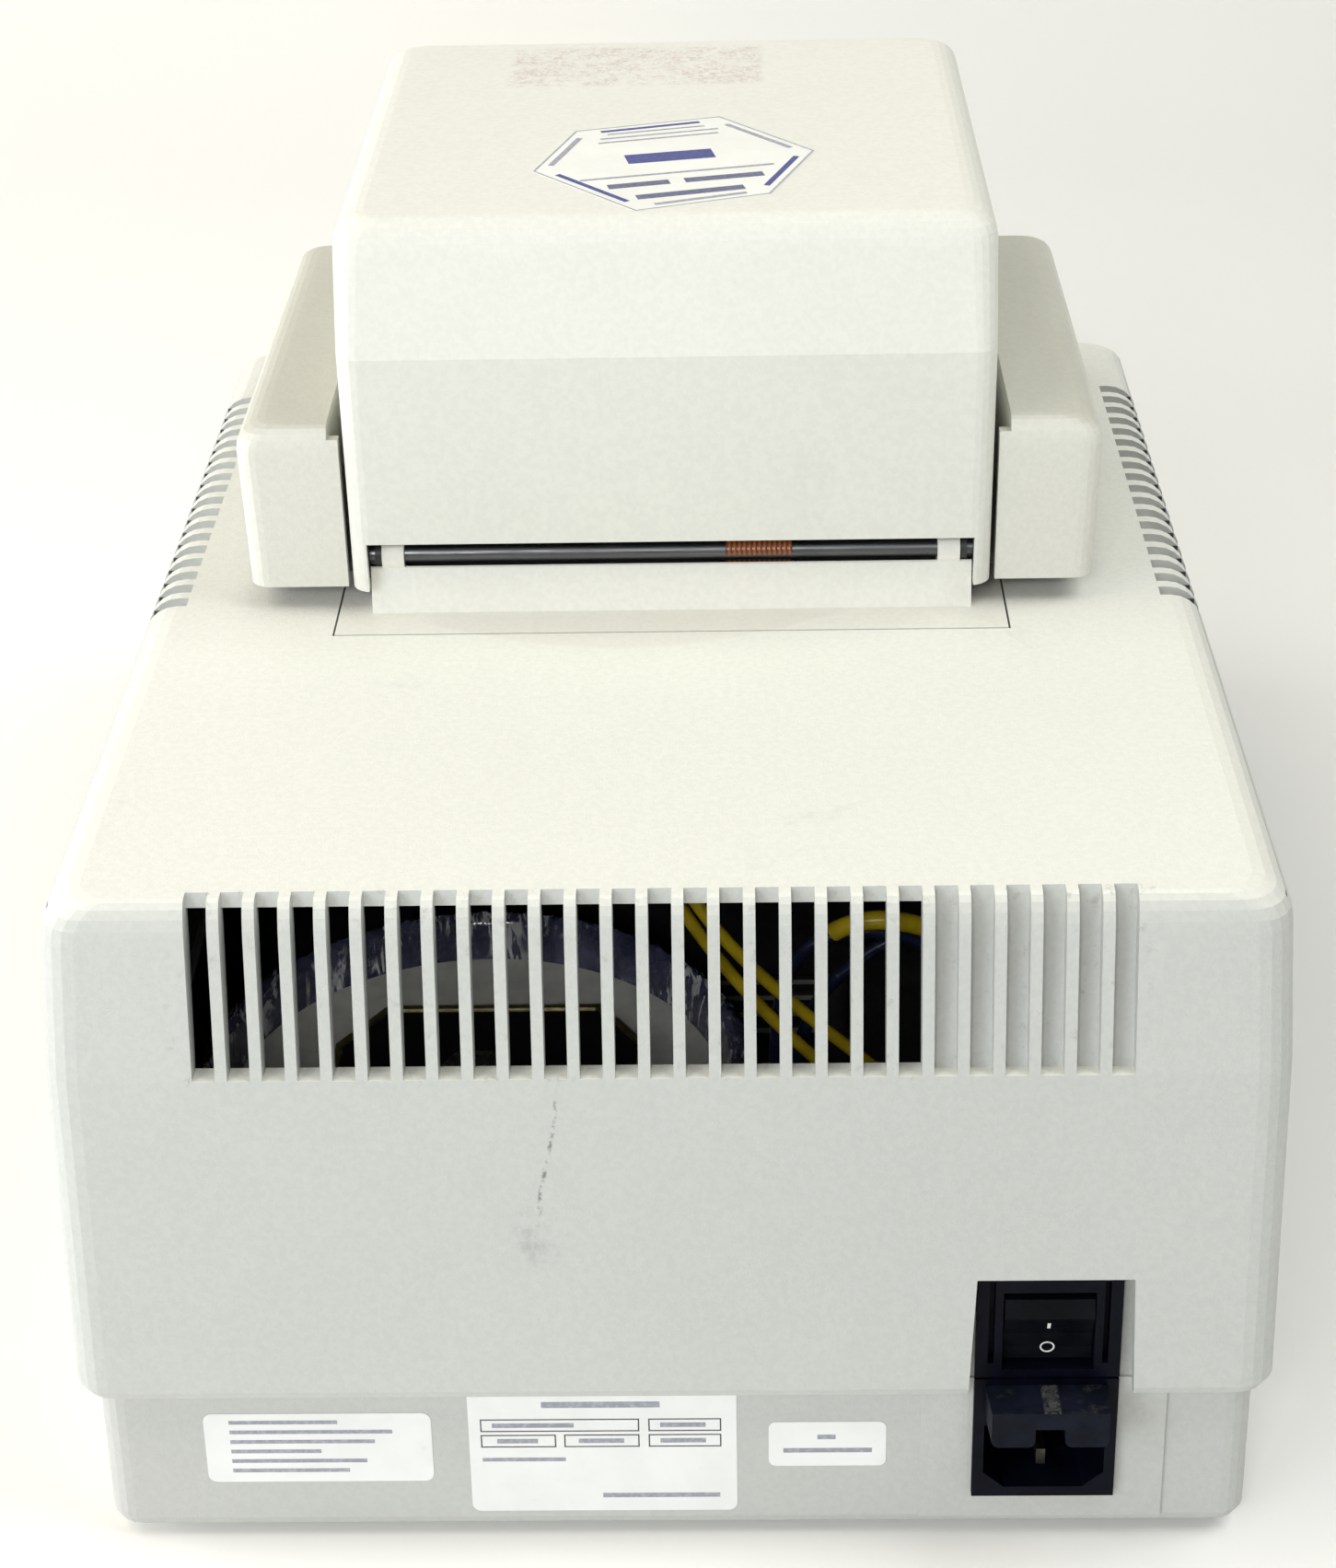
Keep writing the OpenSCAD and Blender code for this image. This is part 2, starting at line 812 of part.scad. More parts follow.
module heat_sink() {
    color([0.66, 0.67, 0.69])
    translate([0, block_y, 0]) difference() {
        union() {
            slab([166, 92, 8], [0, 0, 108]);
            for (y = [-44 : 4.4 : 44.1]) {
                slab([124, 1.6, 50], [0, y, 58]);
            }
        }
        for (p = clamp_pts) {
            rod(1.65, 12, [p[0], p[1], 107]);
        }
        for (p = pillar_pts) {
            rod(2.1, 12, [p[0], p[1], 106]);
        }
    }
}

module sink_pillars() {
    color([0.60, 0.61, 0.62])
    for (p = pillar_pts) {
        rod(4, 102.2, [p[0], p[1] + block_y, base_z0 + 3]);
        rod(2, 12, [p[0], p[1] + block_y, 107]);
    }
}

module fan_housing() {
    color([0.07, 0.07, 0.08])
    translate([0, block_y, fan_z]) difference() {
        union() {
            difference() {
                slab([92, 92, 25], [0, 0, 0]);
                rod(43.5, 40, [0, 0, -5]);
            }
            rod(16, 3, [0, 0, 0]);
            for (a = [45, 135, 225, 315]) {
                rotate([0, 0, a]) translate([12, -2, 0]) cube([34, 4, 3]);
            }
            rod(1.5, 16, [0, 0, 2]);
        }
        for (p = fan_hole_pts) {
            rod(2.2, 40, [p[0], p[1], -5]);
        }
    }
}

module fan_rotor() {
    color([0.05, 0.05, 0.06])
    translate([0, block_y, fan_z]) difference() {
        union() {
            rod(17, 18, [0, 0, 4.5]);
            for (i = [0 : 6]) {
                rotate([0, 0, i * 360 / 7]) translate([15, 0, 13.5]) rotate([38, 0, 0])
                    translate([0, -11, -0.8]) cube([25.5, 22, 1.6]);
            }
        }
        rod(1.55, 16, [0, 0, 3]);
        rod(41.5, 10, [0, 0, 23.5]);
    }
}

module fan_screws() {
    color([0.60, 0.60, 0.62])
    for (p = fan_hole_pts) {
        rod(3.5, 2.2, [p[0], p[1] + block_y, fan_z + 25]);
        rod(1.5, 36, [p[0], p[1] + block_y, fan_z - 10]);
    }
}

// ---------- control slope ----------

key_layout = [
    ["key_up", 56, 14], ["key_down", 56, -14], ["key_left", 38, 0], ["key_right", 74, 0],
    ["key_enter", 56, 0], ["key_exit", 38, -26], ["key_start", 56, 28], ["key_stop", 74, -26]
];

module control_panel() {
    color([0.30, 0.33, 0.40])
    on_slope() difference() {
        translate([-97.7, -40.7, -1.2]) cube([195.4, 81.4, 1.4]);
        translate([-82, -18, -5]) cube([104, 44, 10]);
        for (k = key_layout) {
            slab([key_size[0] + 0.6, key_size[1] + 0.6, 10], [k[1], k[2], -5]);
        }
    }
}

module display_window() {
    color([0.75, 0.80, 0.80, 0.35])
    on_slope() translate([-81.8, -17.8, -1.2]) cube([103.6, 43.6, 1.2]);
}

module display_module() {
    color([0.30, 0.38, 0.20])
    on_slope() {
        translate([-80, -16, -5.2]) cube([100, 40, 3.8]);
        translate([-84, -20, -7]) cube([108, 48, 1.6]);
    }
}

module key_board() {
    color([0.08, 0.30, 0.18])
    on_slope() {
        translate([30, -33, -8.4]) cube([52, 67, 1.6]);
        for (k = key_layout) {
            slab([6, 6, 1.3], [k[1], k[2], -6.81]);
        }
    }
}

module key_cap(name) {
    for (k = key_layout) {
        if (k[0] == name) {
            on_slope() {
                slab([key_size[0], key_size[1], 5.6], [k[1], k[2], -4]);
                slab([key_size[0] + 3, key_size[1] + 3, 0.9], [k[1], k[2], -4.4]);
            }
        }
    }
}

// ---------- lid ----------

module hood_solid(inset = 0) {
    top_r = 7;
    lean = tan(19);
    top = hood_z1 - inset;
    function rear(z) = z <= hood_crease_z ? hood_y1 : hood_y1 - (z - hood_crease_z) * lean;
    function front(z) = -104 + (z - hood_z0) * 0.02;
    function level(z, side, back, r) =
        [z, -hood_half_w + side, hood_half_w - side, front(z) + back, rear(z) - back * 0.5, r];
    loft(concat(
        [for (z = [hood_z0 - (inset > 0 ? 1 : 0), hood_crease_z]) level(z, inset, inset, 5 - inset)],
        [for (a = [0 : 15 : 90])
            level(top - top_r + top_r * sin(a), inset + top_r * (1 - cos(a)), inset + top_r * (1 - cos(a)), 6)]
    ));
}

module hood_shell() {
    color([0.92, 0.93, 0.90])
    difference() {
        union() {
            difference() {
                hood_solid();
                hood_cavity();
            }
            intersection() {
                union() {
                    for (p = hood_screw_pts) {
                        rod(3.6, 20, [p[0], p[1], frame_z1]);
                        slab([6, 3, 20], [sign(p[0]) * 73, p[1], frame_z1]);
                    }
                    for (side = [-1, 1]) {
                        slab([5, 9, 26], [side * 36.5, latch_y + 1.5, frame_z1 + 1]);
                    }
                }
                hood_solid(0.5);
            }
        }
        slab([145, 8, 30], [0, hood_y1 - 1, hinge_z + 5.8 - 30]);
        slab([200, 148, 10], [0, -25, hood_z0 - 6.6]);
        slab([67, 16, 42.5], [0, -105, hood_z0 - 14]);
        rod_x(2.05, -39.5, 39.5, latch_y, latch_z);
        for (p = hood_screw_pts) {
            rod(1.55, 14, [p[0], p[1], frame_z1 - 1]);
        }
    }
}

module hood_cavity() {
    w = hood_half_w - 2.5;
    rear_top = hood_y1 - (hood_z1 - 2.5 - hood_crease_z) * tan(19);
    loft([
        [hood_z0 - 1, -w, w, -101.5, hood_y1 - 2.5, 1],
        [hood_crease_z, -w, w, -100.2, hood_y1 - 2.5, 1],
        [hood_z1 - 8, -w, w, -99.8, hood_y1 - 2.8 - 21.9 * tan(19), 4],
        [hood_z1 - 2.5, -w + 6, w - 6, -94.2, rear_top - 3, 4]
    ]);
}

// a cheek's rounded block, from x_in out to its outer side
module cheek_form(x_in, inset = 0) {
    r = 7;
    x1 = 102.7 - inset;
    y0 = -81.8 + inset;
    y1 = 51.5 - inset;
    top = cheek_z1 - inset;
    loft(concat(
        [[162.7 - (inset > 0 ? 1 : 0), x_in, x1 - 0.8, y0, y1, 5]],
        [for (a = [0 : 15 : 90])
            [top - r + r * sin(a), x_in, x1 - r * (1 - cos(a)), y0 + 2 + r * (1 - cos(a)),
                y1 - 3 * (1 - cos(a)), 5]]
    ));
}

// a hollow block whose rear wall reaches in behind the gap beside the hood
module cheek() {
    difference() {
        union() {
            difference() {
                cheek_form(66);
                cheek_form(82.6, 2);
            }
            for (p = cheek_screw_pts) {
                intersection() {
                    rod(3.6, cheek_z1, [p[0], p[1], frame_z1]);
                    cheek_form(82, 1);
                }
            }
        }
        translate([60, -90, 160]) cube([17.9, 150, 50]);
        translate([60, -90, 160]) cube([20.6, 138.3, 50]);
        translate([60, 40, 200.8]) cube([20.6, 20, 10]);
        slab([20, 129, 10], [78, -16.5, frame_z1 + 0.4 - 10]);
        for (p = cheek_screw_pts) {
            rod(1.55, 14, [p[0], p[1], frame_z1 - 1]);
        }
    }
}

module right_cheek() {
    color([0.83, 0.82, 0.77])
    cheek();
}

module left_cheek() {
    color([0.83, 0.82, 0.77])
    mirror([1, 0, 0]) cheek();
}

module lid_frame() {
    color([0.40, 0.41, 0.43])
    difference() {
        union() {
            slab([147, 140, frame_t], [0, -28, frame_z0]);
            slab([195, 122, frame_t], [0, -17, frame_z0]);
            for (side = [-1, 1]) {
                rod_x(4.2, side * 73.3 - 0.8, side * 73.3 + 0.8, hinge_y, hinge_z);
                translate([side * 73.3 - 0.8, 40, frame_z0]) cube([1.6, 8, 6.5]);
            }
        }
        slab([124, 90, 20], [0, block_y, frame_z0 - 5]);
        rod_x(rod_r + 0.06, -80, 80, hinge_y, hinge_z);
        for (side = [-1, 1]) {
            slab([7.4, 20, 20], [side * 67.7, hinge_y + 3.5, frame_z0 - 5]);
            slab([30, 20, 20], [side * 89, hinge_y + 6, frame_z0 - 5]);
        }
        slab([144.8, 20, 20], [0, hinge_y + 5.4, frame_z0 - 5]);
        slab([19, 6, 20], [-21.25, 42, frame_z0 - 5]);
        slab([76, 20, 20], [0, -102, frame_z0 - 5]);
        for (p = hood_screw_pts) {
            rod(1.6, 14, [p[0], p[1], frame_z0 - 1]);
        }
        for (side = [-1, 1]) for (p = cheek_screw_pts) {
            rod(1.6, 14, [side * p[0], p[1], frame_z0 - 1]);
        }
    }
}

module lid_screws() {
    color([0.62, 0.62, 0.64])
    union() {
        for (p = hood_screw_pts) {
            rod(3, 1.6, [p[0], p[1], frame_z0 - 1.6]);
            rod(1.5, 12, [p[0], p[1], frame_z0 - 0.5]);
        }
        for (side = [-1, 1]) for (p = cheek_screw_pts) {
            rod(3, 1.6, [side * p[0], p[1], frame_z0 - 1.6]);
            rod(1.5, 12, [side * p[0], p[1], frame_z0 - 0.5]);
        }
    }
}

module pressure_carrier() {
    color([0.58, 0.59, 0.61])
    translate([0, block_y, 0]) difference() {
        union() {
            slab([140, 84, 3], [0, 0, carrier_z]);
            for (p = post_pts) {
                rod(3.5, carrier_z - frame_z1 + eps, [p[0], p[1], frame_z1]);
            }
            for (p = guide_pts) {
                rod(6, 7, [p[0], p[1], carrier_z]);
            }
        }
        slab([70, 40, 10], [0, 0, carrier_z - 3]);
        for (p = guide_pts) {
            rod(3.06, 20, [p[0], p[1], carrier_z - 5]);
        }
    }
}

module pressure_springs() {
    color([0.70, 0.70, 0.70])
    for (p = guide_pts) {
        translate([p[0], p[1] + block_y, 169.4]) rotate_extrude($fn = 48)
            translate([3.6, 0]) square([1.8, carrier_z - 169.4]);
    }
}

module heated_plate() {
    color([0.74, 0.75, 0.77])
    slab([118, 84, 6], [0, block_y, 159.8]);
}

module heater_mat() {
    color([0.78, 0.34, 0.16])
    translate([0, block_y, 0]) difference() {
        slab([114, 80, 3.6], [0, 0, 165.8]);
        for (p = guide_pts) {
            rod(3.2, 10, [p[0], p[1], 162]);
        }
    }
}

module guide_pins() {
    color([0.76, 0.77, 0.78])
    for (p = guide_pts) {
        rod(3, 34.5, [p[0], p[1] + block_y, 165.8]);
    }
}

// lever in the hood's front, with a lip that hooks under the strike, between its posts
module latch_handle() {
    color([0.30, 0.33, 0.40])
    union() {
        prism_x(-33, 33, [
            [-101.2, 190], [-103.4, 190.2], [-107.6, 166], [-107.6, 161], [-105.4, 158.9], [-104.6, 157.9],
            [-103.2, 157.9], [-103.4, 166], [-100.4, 176], [-96.4, 178.5], [-96.4, 183.5], [-99.6, 184.6]
        ]);
        prism_x(-20.5, 20.5, [[-104, 157.9], [-95.6, 157.9], [-95.6, 158.9], [-103, 160.2], [-104, 160.2]]);
        rod_x(2, -38.8, 38.8, latch_y, latch_z);
    }
}

// ---------- drawing ----------

base_tub();
rubber_feet();
cover_screws();
top_cover();
deck_insert();
block_collar();
hinge_strip();
hinge_rod();
hinge_brackets();
flex_cable();
latch_strike();
inlet_housing();
inlet_pins();
inlet_terminals();
rocker_switch();
fuse_drawer();
fuses();
coil_pad();
transformer_coil();
coil_washer();
coil_plate();
coil_bolt();
earth_wires();
mains_wires();
power_board();
power_parts();
board_standoffs();
main_board();
main_parts();
sample_block();
block_screws();
peltier_modules();
heat_sink();
sink_pillars();
fan_housing();
fan_rotor();
fan_screws();
control_panel();
display_window();
display_module();
key_board();
color([0.85, 0.85, 0.83]) key_cap("key_up");  // key_up
color([0.85, 0.85, 0.83]) key_cap("key_down");  // key_down
color([0.85, 0.85, 0.83]) key_cap("key_left");  // key_left
color([0.85, 0.85, 0.83]) key_cap("key_right");  // key_right
color([0.85, 0.85, 0.83]) key_cap("key_enter");  // key_enter
color([0.85, 0.85, 0.83]) key_cap("key_exit");  // key_exit
color([0.30, 0.60, 0.35]) key_cap("key_start");  // key_start
color([0.70, 0.22, 0.18]) key_cap("key_stop");  // key_stop
hood_shell();
right_cheek();
left_cheek();
lid_frame();
lid_screws();
pressure_carrier();
pressure_springs();
heated_plate();
heater_mat();
guide_pins();
latch_handle();
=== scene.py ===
"""Looks of the bench-top thermal cycler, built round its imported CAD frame.

Places on the machine are millimetres and MM turns them into metres. The floor, lights, camera and
shader distances are metres. The back of the machine faces +Y and +Z is up.
"""

import math
import random

import bmesh
import bpy
from mathutils import Matrix, Vector


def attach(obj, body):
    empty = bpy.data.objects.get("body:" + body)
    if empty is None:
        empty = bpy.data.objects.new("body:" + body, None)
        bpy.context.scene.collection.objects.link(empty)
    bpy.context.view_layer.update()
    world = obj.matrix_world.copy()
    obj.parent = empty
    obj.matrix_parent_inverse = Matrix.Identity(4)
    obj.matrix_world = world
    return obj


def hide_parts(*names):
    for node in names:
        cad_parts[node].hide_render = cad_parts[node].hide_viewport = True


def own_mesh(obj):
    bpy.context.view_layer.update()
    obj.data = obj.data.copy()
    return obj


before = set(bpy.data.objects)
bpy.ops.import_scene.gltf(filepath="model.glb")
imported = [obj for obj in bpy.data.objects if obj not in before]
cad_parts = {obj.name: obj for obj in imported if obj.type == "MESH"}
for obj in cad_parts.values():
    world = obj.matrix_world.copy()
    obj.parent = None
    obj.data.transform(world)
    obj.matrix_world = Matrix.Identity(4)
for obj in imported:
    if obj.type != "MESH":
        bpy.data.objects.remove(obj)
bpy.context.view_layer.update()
random.seed(7)

MM = 0.001

# ---------------------------------------------------------------- dimensions taken from the CAD

BASE_REAR_Y = 204.2
BASE_BOTTOM_Z = 2.8
BASE_LEAN = math.radians(5)
INLET_X = -81
INLET_Z = 11.5
SLOPE_ANGLE = math.atan2(78.5, 86.7)
SLOPE_MID = (0, -162.35, 117.25)
ROCKER_PIVOT = (-3, 45.3)
ROCKER_FACE = [(6.4, 3.8), (4.9, 1.2), (3.8, -1.6), (3.1, -5.6), (2.9, -8.6)]
HOOD_TOP_Z = 252.2
COIL_CENTRE = (46.5, 130)
COIL_FOOT_Z = 9
COIL_PLATE_TOP_Z = 69.4
BLOCK_Y = -26
KEY_TOP = 1.6
DISPLAY_FACE = -1.38
PAPER = 0.12
INK = 0.02
FLOAT = 0.02  # gap kept between a label or mark and the surface below it
KEYS = {
    "key_up": (56, 14), "key_down": (56, -14), "key_left": (38, 0), "key_right": (74, 0),
    "key_enter": (56, 0), "key_exit": (38, -26), "key_start": (56, 28), "key_stop": (74, -26),
}


# ---------------------------------------------------------------- shader helpers

class Shader:
    """A node material built step by step; every helper returns an output socket."""

    def __init__(self, name):
        self.material = bpy.data.materials.new(name)
        self.material.use_nodes = True
        self.tree = self.material.node_tree
        self.tree.nodes.clear()
        self.output = self.tree.nodes.new("ShaderNodeOutputMaterial")
        self.bsdf = self.tree.nodes.new("ShaderNodeBsdfPrincipled")
        self.tree.links.new(self.bsdf.outputs[0], self.output.inputs[0])
        self.coords = self.tree.nodes.new("ShaderNodeTexCoord").outputs["Object"]

    def plug(self, value, socket):
        if isinstance(value, bpy.types.NodeSocket):
            self.tree.links.new(value, socket)
        else:
            socket.default_value = value

    def set(self, **inputs):
        for name, value in inputs.items():
            self.plug(value, self.bsdf.inputs[name.replace("_", " ")])
        return self

    def stretch(self, scale):
        node = self.tree.nodes.new("ShaderNodeMapping")
        node.inputs["Scale"].default_value = scale
        self.tree.links.new(self.coords, node.inputs["Vector"])
        return node.outputs[0]

    def noise(self, scale, detail=4.0, roughness=0.55, distortion=0.0, vector=None):
        node = self.tree.nodes.new("ShaderNodeTexNoise")
        node.inputs["Scale"].default_value = scale
        node.inputs["Detail"].default_value = detail
        node.inputs["Roughness"].default_value = roughness
        node.inputs["Distortion"].default_value = distortion
        self.tree.links.new(vector or self.coords, node.inputs["Vector"])
        return node.outputs["Fac"]

    def voronoi(self, scale, feature="F1"):
        node = self.tree.nodes.new("ShaderNodeTexVoronoi")
        node.feature = feature
        node.inputs["Scale"].default_value = scale
        self.tree.links.new(self.coords, node.inputs["Vector"])
        return node.outputs["Distance"]

    def band(self, value, low, high, out_low=0.0, out_high=1.0):
        """A soft step from out_low to out_high as the value goes from low to high."""
        node = self.tree.nodes.new("ShaderNodeMapRange")
        node.interpolation_type = "SMOOTHSTEP"
        node.inputs["From Min"].default_value = low
        node.inputs["From Max"].default_value = high
        node.inputs["To Min"].default_value = out_low
        node.inputs["To Max"].default_value = out_high
        self.plug(value, node.inputs["Value"])
        return node.outputs["Result"]

    def math(self, operation, a, b=0.0):
        node = self.tree.nodes.new("ShaderNodeMath")
        node.operation = operation
        self.plug(a, node.inputs[0])
        self.plug(b, node.inputs[1])
        return node.outputs[0]

    def times(self, a, b):
        return self.math("MULTIPLY", a, b)

    def plus(self, a, b):
        return self.math("ADD", a, b)

    def mix(self, factor, a, b, blend="MIX"):
        node = self.tree.nodes.new("ShaderNodeMix")
        node.data_type = "RGBA"
        node.blend_type = blend
        self.plug(factor, node.inputs["Factor"])
        self.plug(rgba(a), node.inputs["A"])
        self.plug(rgba(b), node.inputs["B"])
        return node.outputs["Result"]

    def stain(self, tone, mask, amount, colour):
        """The tone with a colour laid over it where the mask is 1, at the given strength."""
        return self.mix(self.times(mask, amount), tone, colour)

    def axis(self, name, source=None):
        node = self.tree.nodes.new("ShaderNodeSeparateXYZ")
        self.tree.links.new(source or self.coords, node.inputs[0])
        return node.outputs[name]

    def facing_up(self):
        geometry = self.tree.nodes.new("ShaderNodeNewGeometry")
        return self.band(self.axis("Z", geometry.outputs["Normal"]), 0.3, 0.95)

    def bump(self, height, depth):
        node = self.tree.nodes.new("ShaderNodeBump")
        node.inputs["Distance"].default_value = depth
        node.inputs["Strength"].default_value = 1.0
        self.plug(height, node.inputs["Height"])
        return node.outputs[0]

    def box_mask(self, low, high, soft):
        """1 inside a box given by two corners in mm, with None for an open side."""
        mask = None
        for i, letter in enumerate("XYZ"):
            value = self.axis(letter)
            for edge, sign in ((low[i], 1), (high[i], -1)):
                if edge is None:
                    continue
                start, end = edge * MM, edge * MM + sign * soft * MM
                if sign > 0:
                    step = self.band(value, start, end)
                else:
                    step = self.band(value, end, start, 1, 0)
                mask = step if mask is None else self.times(mask, step)
        return mask


def rgba(value):
    if isinstance(value, (tuple, list)) and len(value) == 3:
        return (*value, 1.0)
    return value


# ---------------------------------------------------------------- materials

def moulded_plastic(name, colour, painted_top_shading, grain=0.00011, roughness=0.52, marks=None):
    """Spark-eroded moulding: fine grain, cloudy tone, faint rubs, and painted light and shade on faces that
    point up, where a second tone stands in for the light from above.
    """
    s = Shader(name)
    cloud = s.noise(9, 5, 0.6)
    tone = s.mix(s.band(cloud, 0.35, 0.7), colour, [c * 0.965 for c in colour])
    # painted light and shade: faces that point up take the second colour, lighter or darker than the moulding
    tone = s.stain(tone, s.facing_up(), 0.8, painted_top_shading)
    mottle = s.band(s.noise(640, 3, 0.6), 0.35, 0.65)
    tone = s.mix(mottle, tone, (0.955, 0.955, 0.955), "MULTIPLY")
    rubs = s.band(s.noise(26, 8, 0.7, 1.2), 0.60, 0.74)
    tone = s.stain(tone, rubs, 0.20, [c * 0.80 for c in colour])
    specks = s.band(s.voronoi(230), 0.035, 0.0)
    patchy = s.band(s.noise(14, 3), 0.52, 0.62)
    tone = s.stain(tone, s.times(specks, patchy), 0.6, (0.16, 0.15, 0.13))
    if marks:
        tone = marks(s, tone)
    grain_fac = s.noise(2300, 3, 0.6)
    coarse = s.noise(620, 2, 0.5)
    normal = s.bump(s.plus(grain_fac, s.times(coarse, 0.5)), grain)
    shine = s.band(s.noise(40, 5), 0.3, 0.75, roughness - 0.05, roughness + 0.08)
    return s.set(Base_Color=tone, Roughness=shine, Normal=normal, Specular_IOR_Level=0.42).material


def painted_inside_shade(s, tone, low, high):
    """Painted shade: dark grey laid over the inside of a moulding, given as a box in mm, for the shade inside
    the housing.
    """
    grey = s.mix(s.band(s.noise(70, 4), 0.35, 0.7), (0.035, 0.037, 0.040), (0.060, 0.062, 0.064))
    return s.mix(s.box_mask(low, high, 0.3), tone, grey)


def base_marks(s, tone):
    """Painted shade: dark grey over the inside of the base."""
    return painted_inside_shade(s, tone, (-124.5, -190, 4.5), (124.5, 195.5, 60))


def cover_marks(s, tone):
    """Scuff and smudge below the grille, grime at its bars, stain and dust on the deck, painted shade inside.
    """
    x = s.axis("X")
    z = s.axis("Z")
    wander = s.times(s.math("SUBTRACT", s.noise(60, 4), 0.5), 0.004)
    centre = s.plus(s.times(z, -0.17), 0.0425)
    off = s.math("ABSOLUTE", s.plus(s.math("SUBTRACT", x, centre), wander))
    line = s.band(off, 0.0007, 0.0001)
    broken = s.band(s.noise(420, 4, 0.7), 0.46, 0.60)
    reach = s.box_mask((0, 150, 84), (50, 215, 119), 6)
    scuff = s.times(s.times(line, broken), reach)
    tone = s.stain(tone, scuff, 0.75, (0.12, 0.12, 0.12))
    smudge_area = s.box_mask((20, 150, 74), (36, 215, 92), 7)
    smudge = s.times(smudge_area, s.band(s.noise(180, 6, 0.7), 0.45, 0.7))
    tone = s.stain(tone, smudge, 0.34, (0.20, 0.20, 0.21))
    bars = s.box_mask((-105, 178, 117), (105, 210, 160), 3)
    grime = s.times(bars, s.band(s.noise(240, 7, 0.75), 0.56, 0.72))
    tone = s.stain(tone, grime, 0.45, (0.26, 0.25, 0.23))
    tone = strip_stain(s, tone)
    tone = dust(s, tone, (None, -60, 150), (None, 110, 160), 0.22)
    # painted shade: dark grey over the inside of the cover
    return painted_inside_shade(s, tone, (-127.7, -100, 44.5), (127.7, 180, 153.3))


def strip_stain(s, tone):
    """A beige tide mark on the deck below the hinge strip, shaped like a shallow bow."""
    bow_middle_x = 0.012
    front_y = 0.0765
    bow = s.times(s.math("POWER", s.math("SUBTRACT", s.axis("X"), bow_middle_x), 2.0), 6.0)
    reach = s.plus(s.plus(s.axis("Y"), bow), s.times(s.noise(40, 4), 0.006))
    inside = s.band(reach, front_y + 0.0010, front_y - 0.0005)
    wide = s.box_mask((-44, 50, 150), (62, 90, 160), 8)
    tone = s.stain(tone, s.times(inside, wide), 0.30, (0.46, 0.41, 0.32))
    rising = s.band(reach, front_y - 0.0015, front_y - 0.0003)
    falling = s.band(reach, front_y + 0.0015, front_y + 0.0003)
    edge = s.times(rising, falling)
    return s.stain(tone, s.times(edge, wide), 0.25, (0.95, 0.94, 0.86))


def dust(s, tone, low, high, amount):
    """Soft brownish clouds inside a box in mm."""
    clouds = s.times(s.box_mask(low, high, 40), s.band(s.noise(11, 6, 0.65, 0.6), 0.42, 0.68))
    return s.stain(tone, clouds, amount, (0.45, 0.38, 0.27))


def hood_marks(s, tone):
    """Remains of an old label on the hood's top, and dust and a faint pink tint round it."""
    tone = dust(s, tone, (None, None, 246), (None, 20, None), 0.30)
    cloudy = s.band(s.noise(9, 4), 0.36, 0.62)
    # a faint pink tint over part of the top
    pink_tint = s.times(s.box_mask((None, None, 248), (0, 10, None), 36), cloudy)
    tone = s.stain(tone, pink_tint, 0.38, (0.86, 0.66, 0.56))
    area = s.box_mask((-25, -93, 245), (43, -56, 260), 3)
    flecks = s.band(s.noise(620, 7, 0.8, 0.8), 0.46, 0.56)
    clusters = s.band(s.noise(110, 5, 0.7), 0.38, 0.54)
    spread = s.times(s.times(area, flecks), clusters)
    return s.stain(tone, spread, 0.6, (0.52, 0.40, 0.35))


def inlet_plastic(name, colour=(0.0011, 0.0015, 0.0048), roughness=0.38, scuffed=False):
    """Dark engineering plastic with a fine orange-peel skin and grey rubs on its proud edges."""
    s = Shader(name)
    tone = s.mix(s.band(s.noise(160, 5), 0.35, 0.7), colour, [c * 1.9 for c in colour])
    wear = s.band(s.noise(520, 8, 0.8, 0.5), 0.60, 0.72)
    tone = s.stain(tone, wear, 0.14, (0.05, 0.055, 0.06))
    if scuffed:
        rub = s.band(s.noise(900, 8, 0.8, 1.0), 0.40, 0.60)
        middle = s.box_mask((INLET_X - 2.4, None, None), (INLET_X + 1.6, None, None), 0.4)
        patch = s.plus(middle, s.times(s.band(s.noise(120, 3), 0.52, 0.64), 0.45))
        worn = s.times(s.times(rub, patch), s.facing_up())
        tone = s.stain(tone, worn, 0.5, (0.14, 0.14, 0.125))
    normal = s.bump(s.noise(1500, 3), 0.00004)
    return s.set(Base_Color=tone, Roughness=s.band(s.noise(90, 4), 0.3, 0.7, roughness, roughness + 0.18),
                 Normal=normal, Specular_IOR_Level=0.10).material


def metal(name, colour, roughness, brushed=None):
    """Bare metal with brushing along one axis, cloudy oxide and small dull spots."""
    s = Shader(name)
    along = {"x": (60, 1600, 1600), "y": (1600, 60, 1600), None: (500, 500, 500)}
    streaks = s.noise(1.0, 4, 0.6, vector=s.stretch(along[brushed]))
    cloud = s.noise(70, 5)
    tone = s.mix(s.band(streaks, 0.3, 0.7), colour, [c * 0.80 for c in colour])
    tone = s.stain(tone, s.band(cloud, 0.5, 0.75), 0.4, [c * 0.66 for c in colour])
    dull = s.band(s.noise(380, 4), 0.66, 0.74)
    tone = s.stain(tone, dull, 0.5, [c * 0.42 for c in colour])
    shine = s.band(streaks, 0.25, 0.75, roughness - 0.07, roughness + 0.12)
    normal = s.bump(streaks, 0.00002)
    return s.set(Base_Color=tone, Metallic=1.0, Roughness=shine, Normal=normal).material


def painted(name, colour, roughness=0.45):
    """Paint with a cloudy tone and small chips."""
    s = Shader(name)
    tone = s.mix(s.band(s.noise(120, 6), 0.35, 0.7), colour, [c * 0.82 for c in colour])
    chips = s.band(s.noise(260, 6, 0.75), 0.66, 0.70)
    tone = s.stain(tone, chips, 0.5, [min(1, c * 1.5 + 0.03) for c in colour])
    normal = s.bump(s.noise(900, 3), 0.00003)
    return s.set(Base_Color=tone, Roughness=roughness, Normal=normal).material


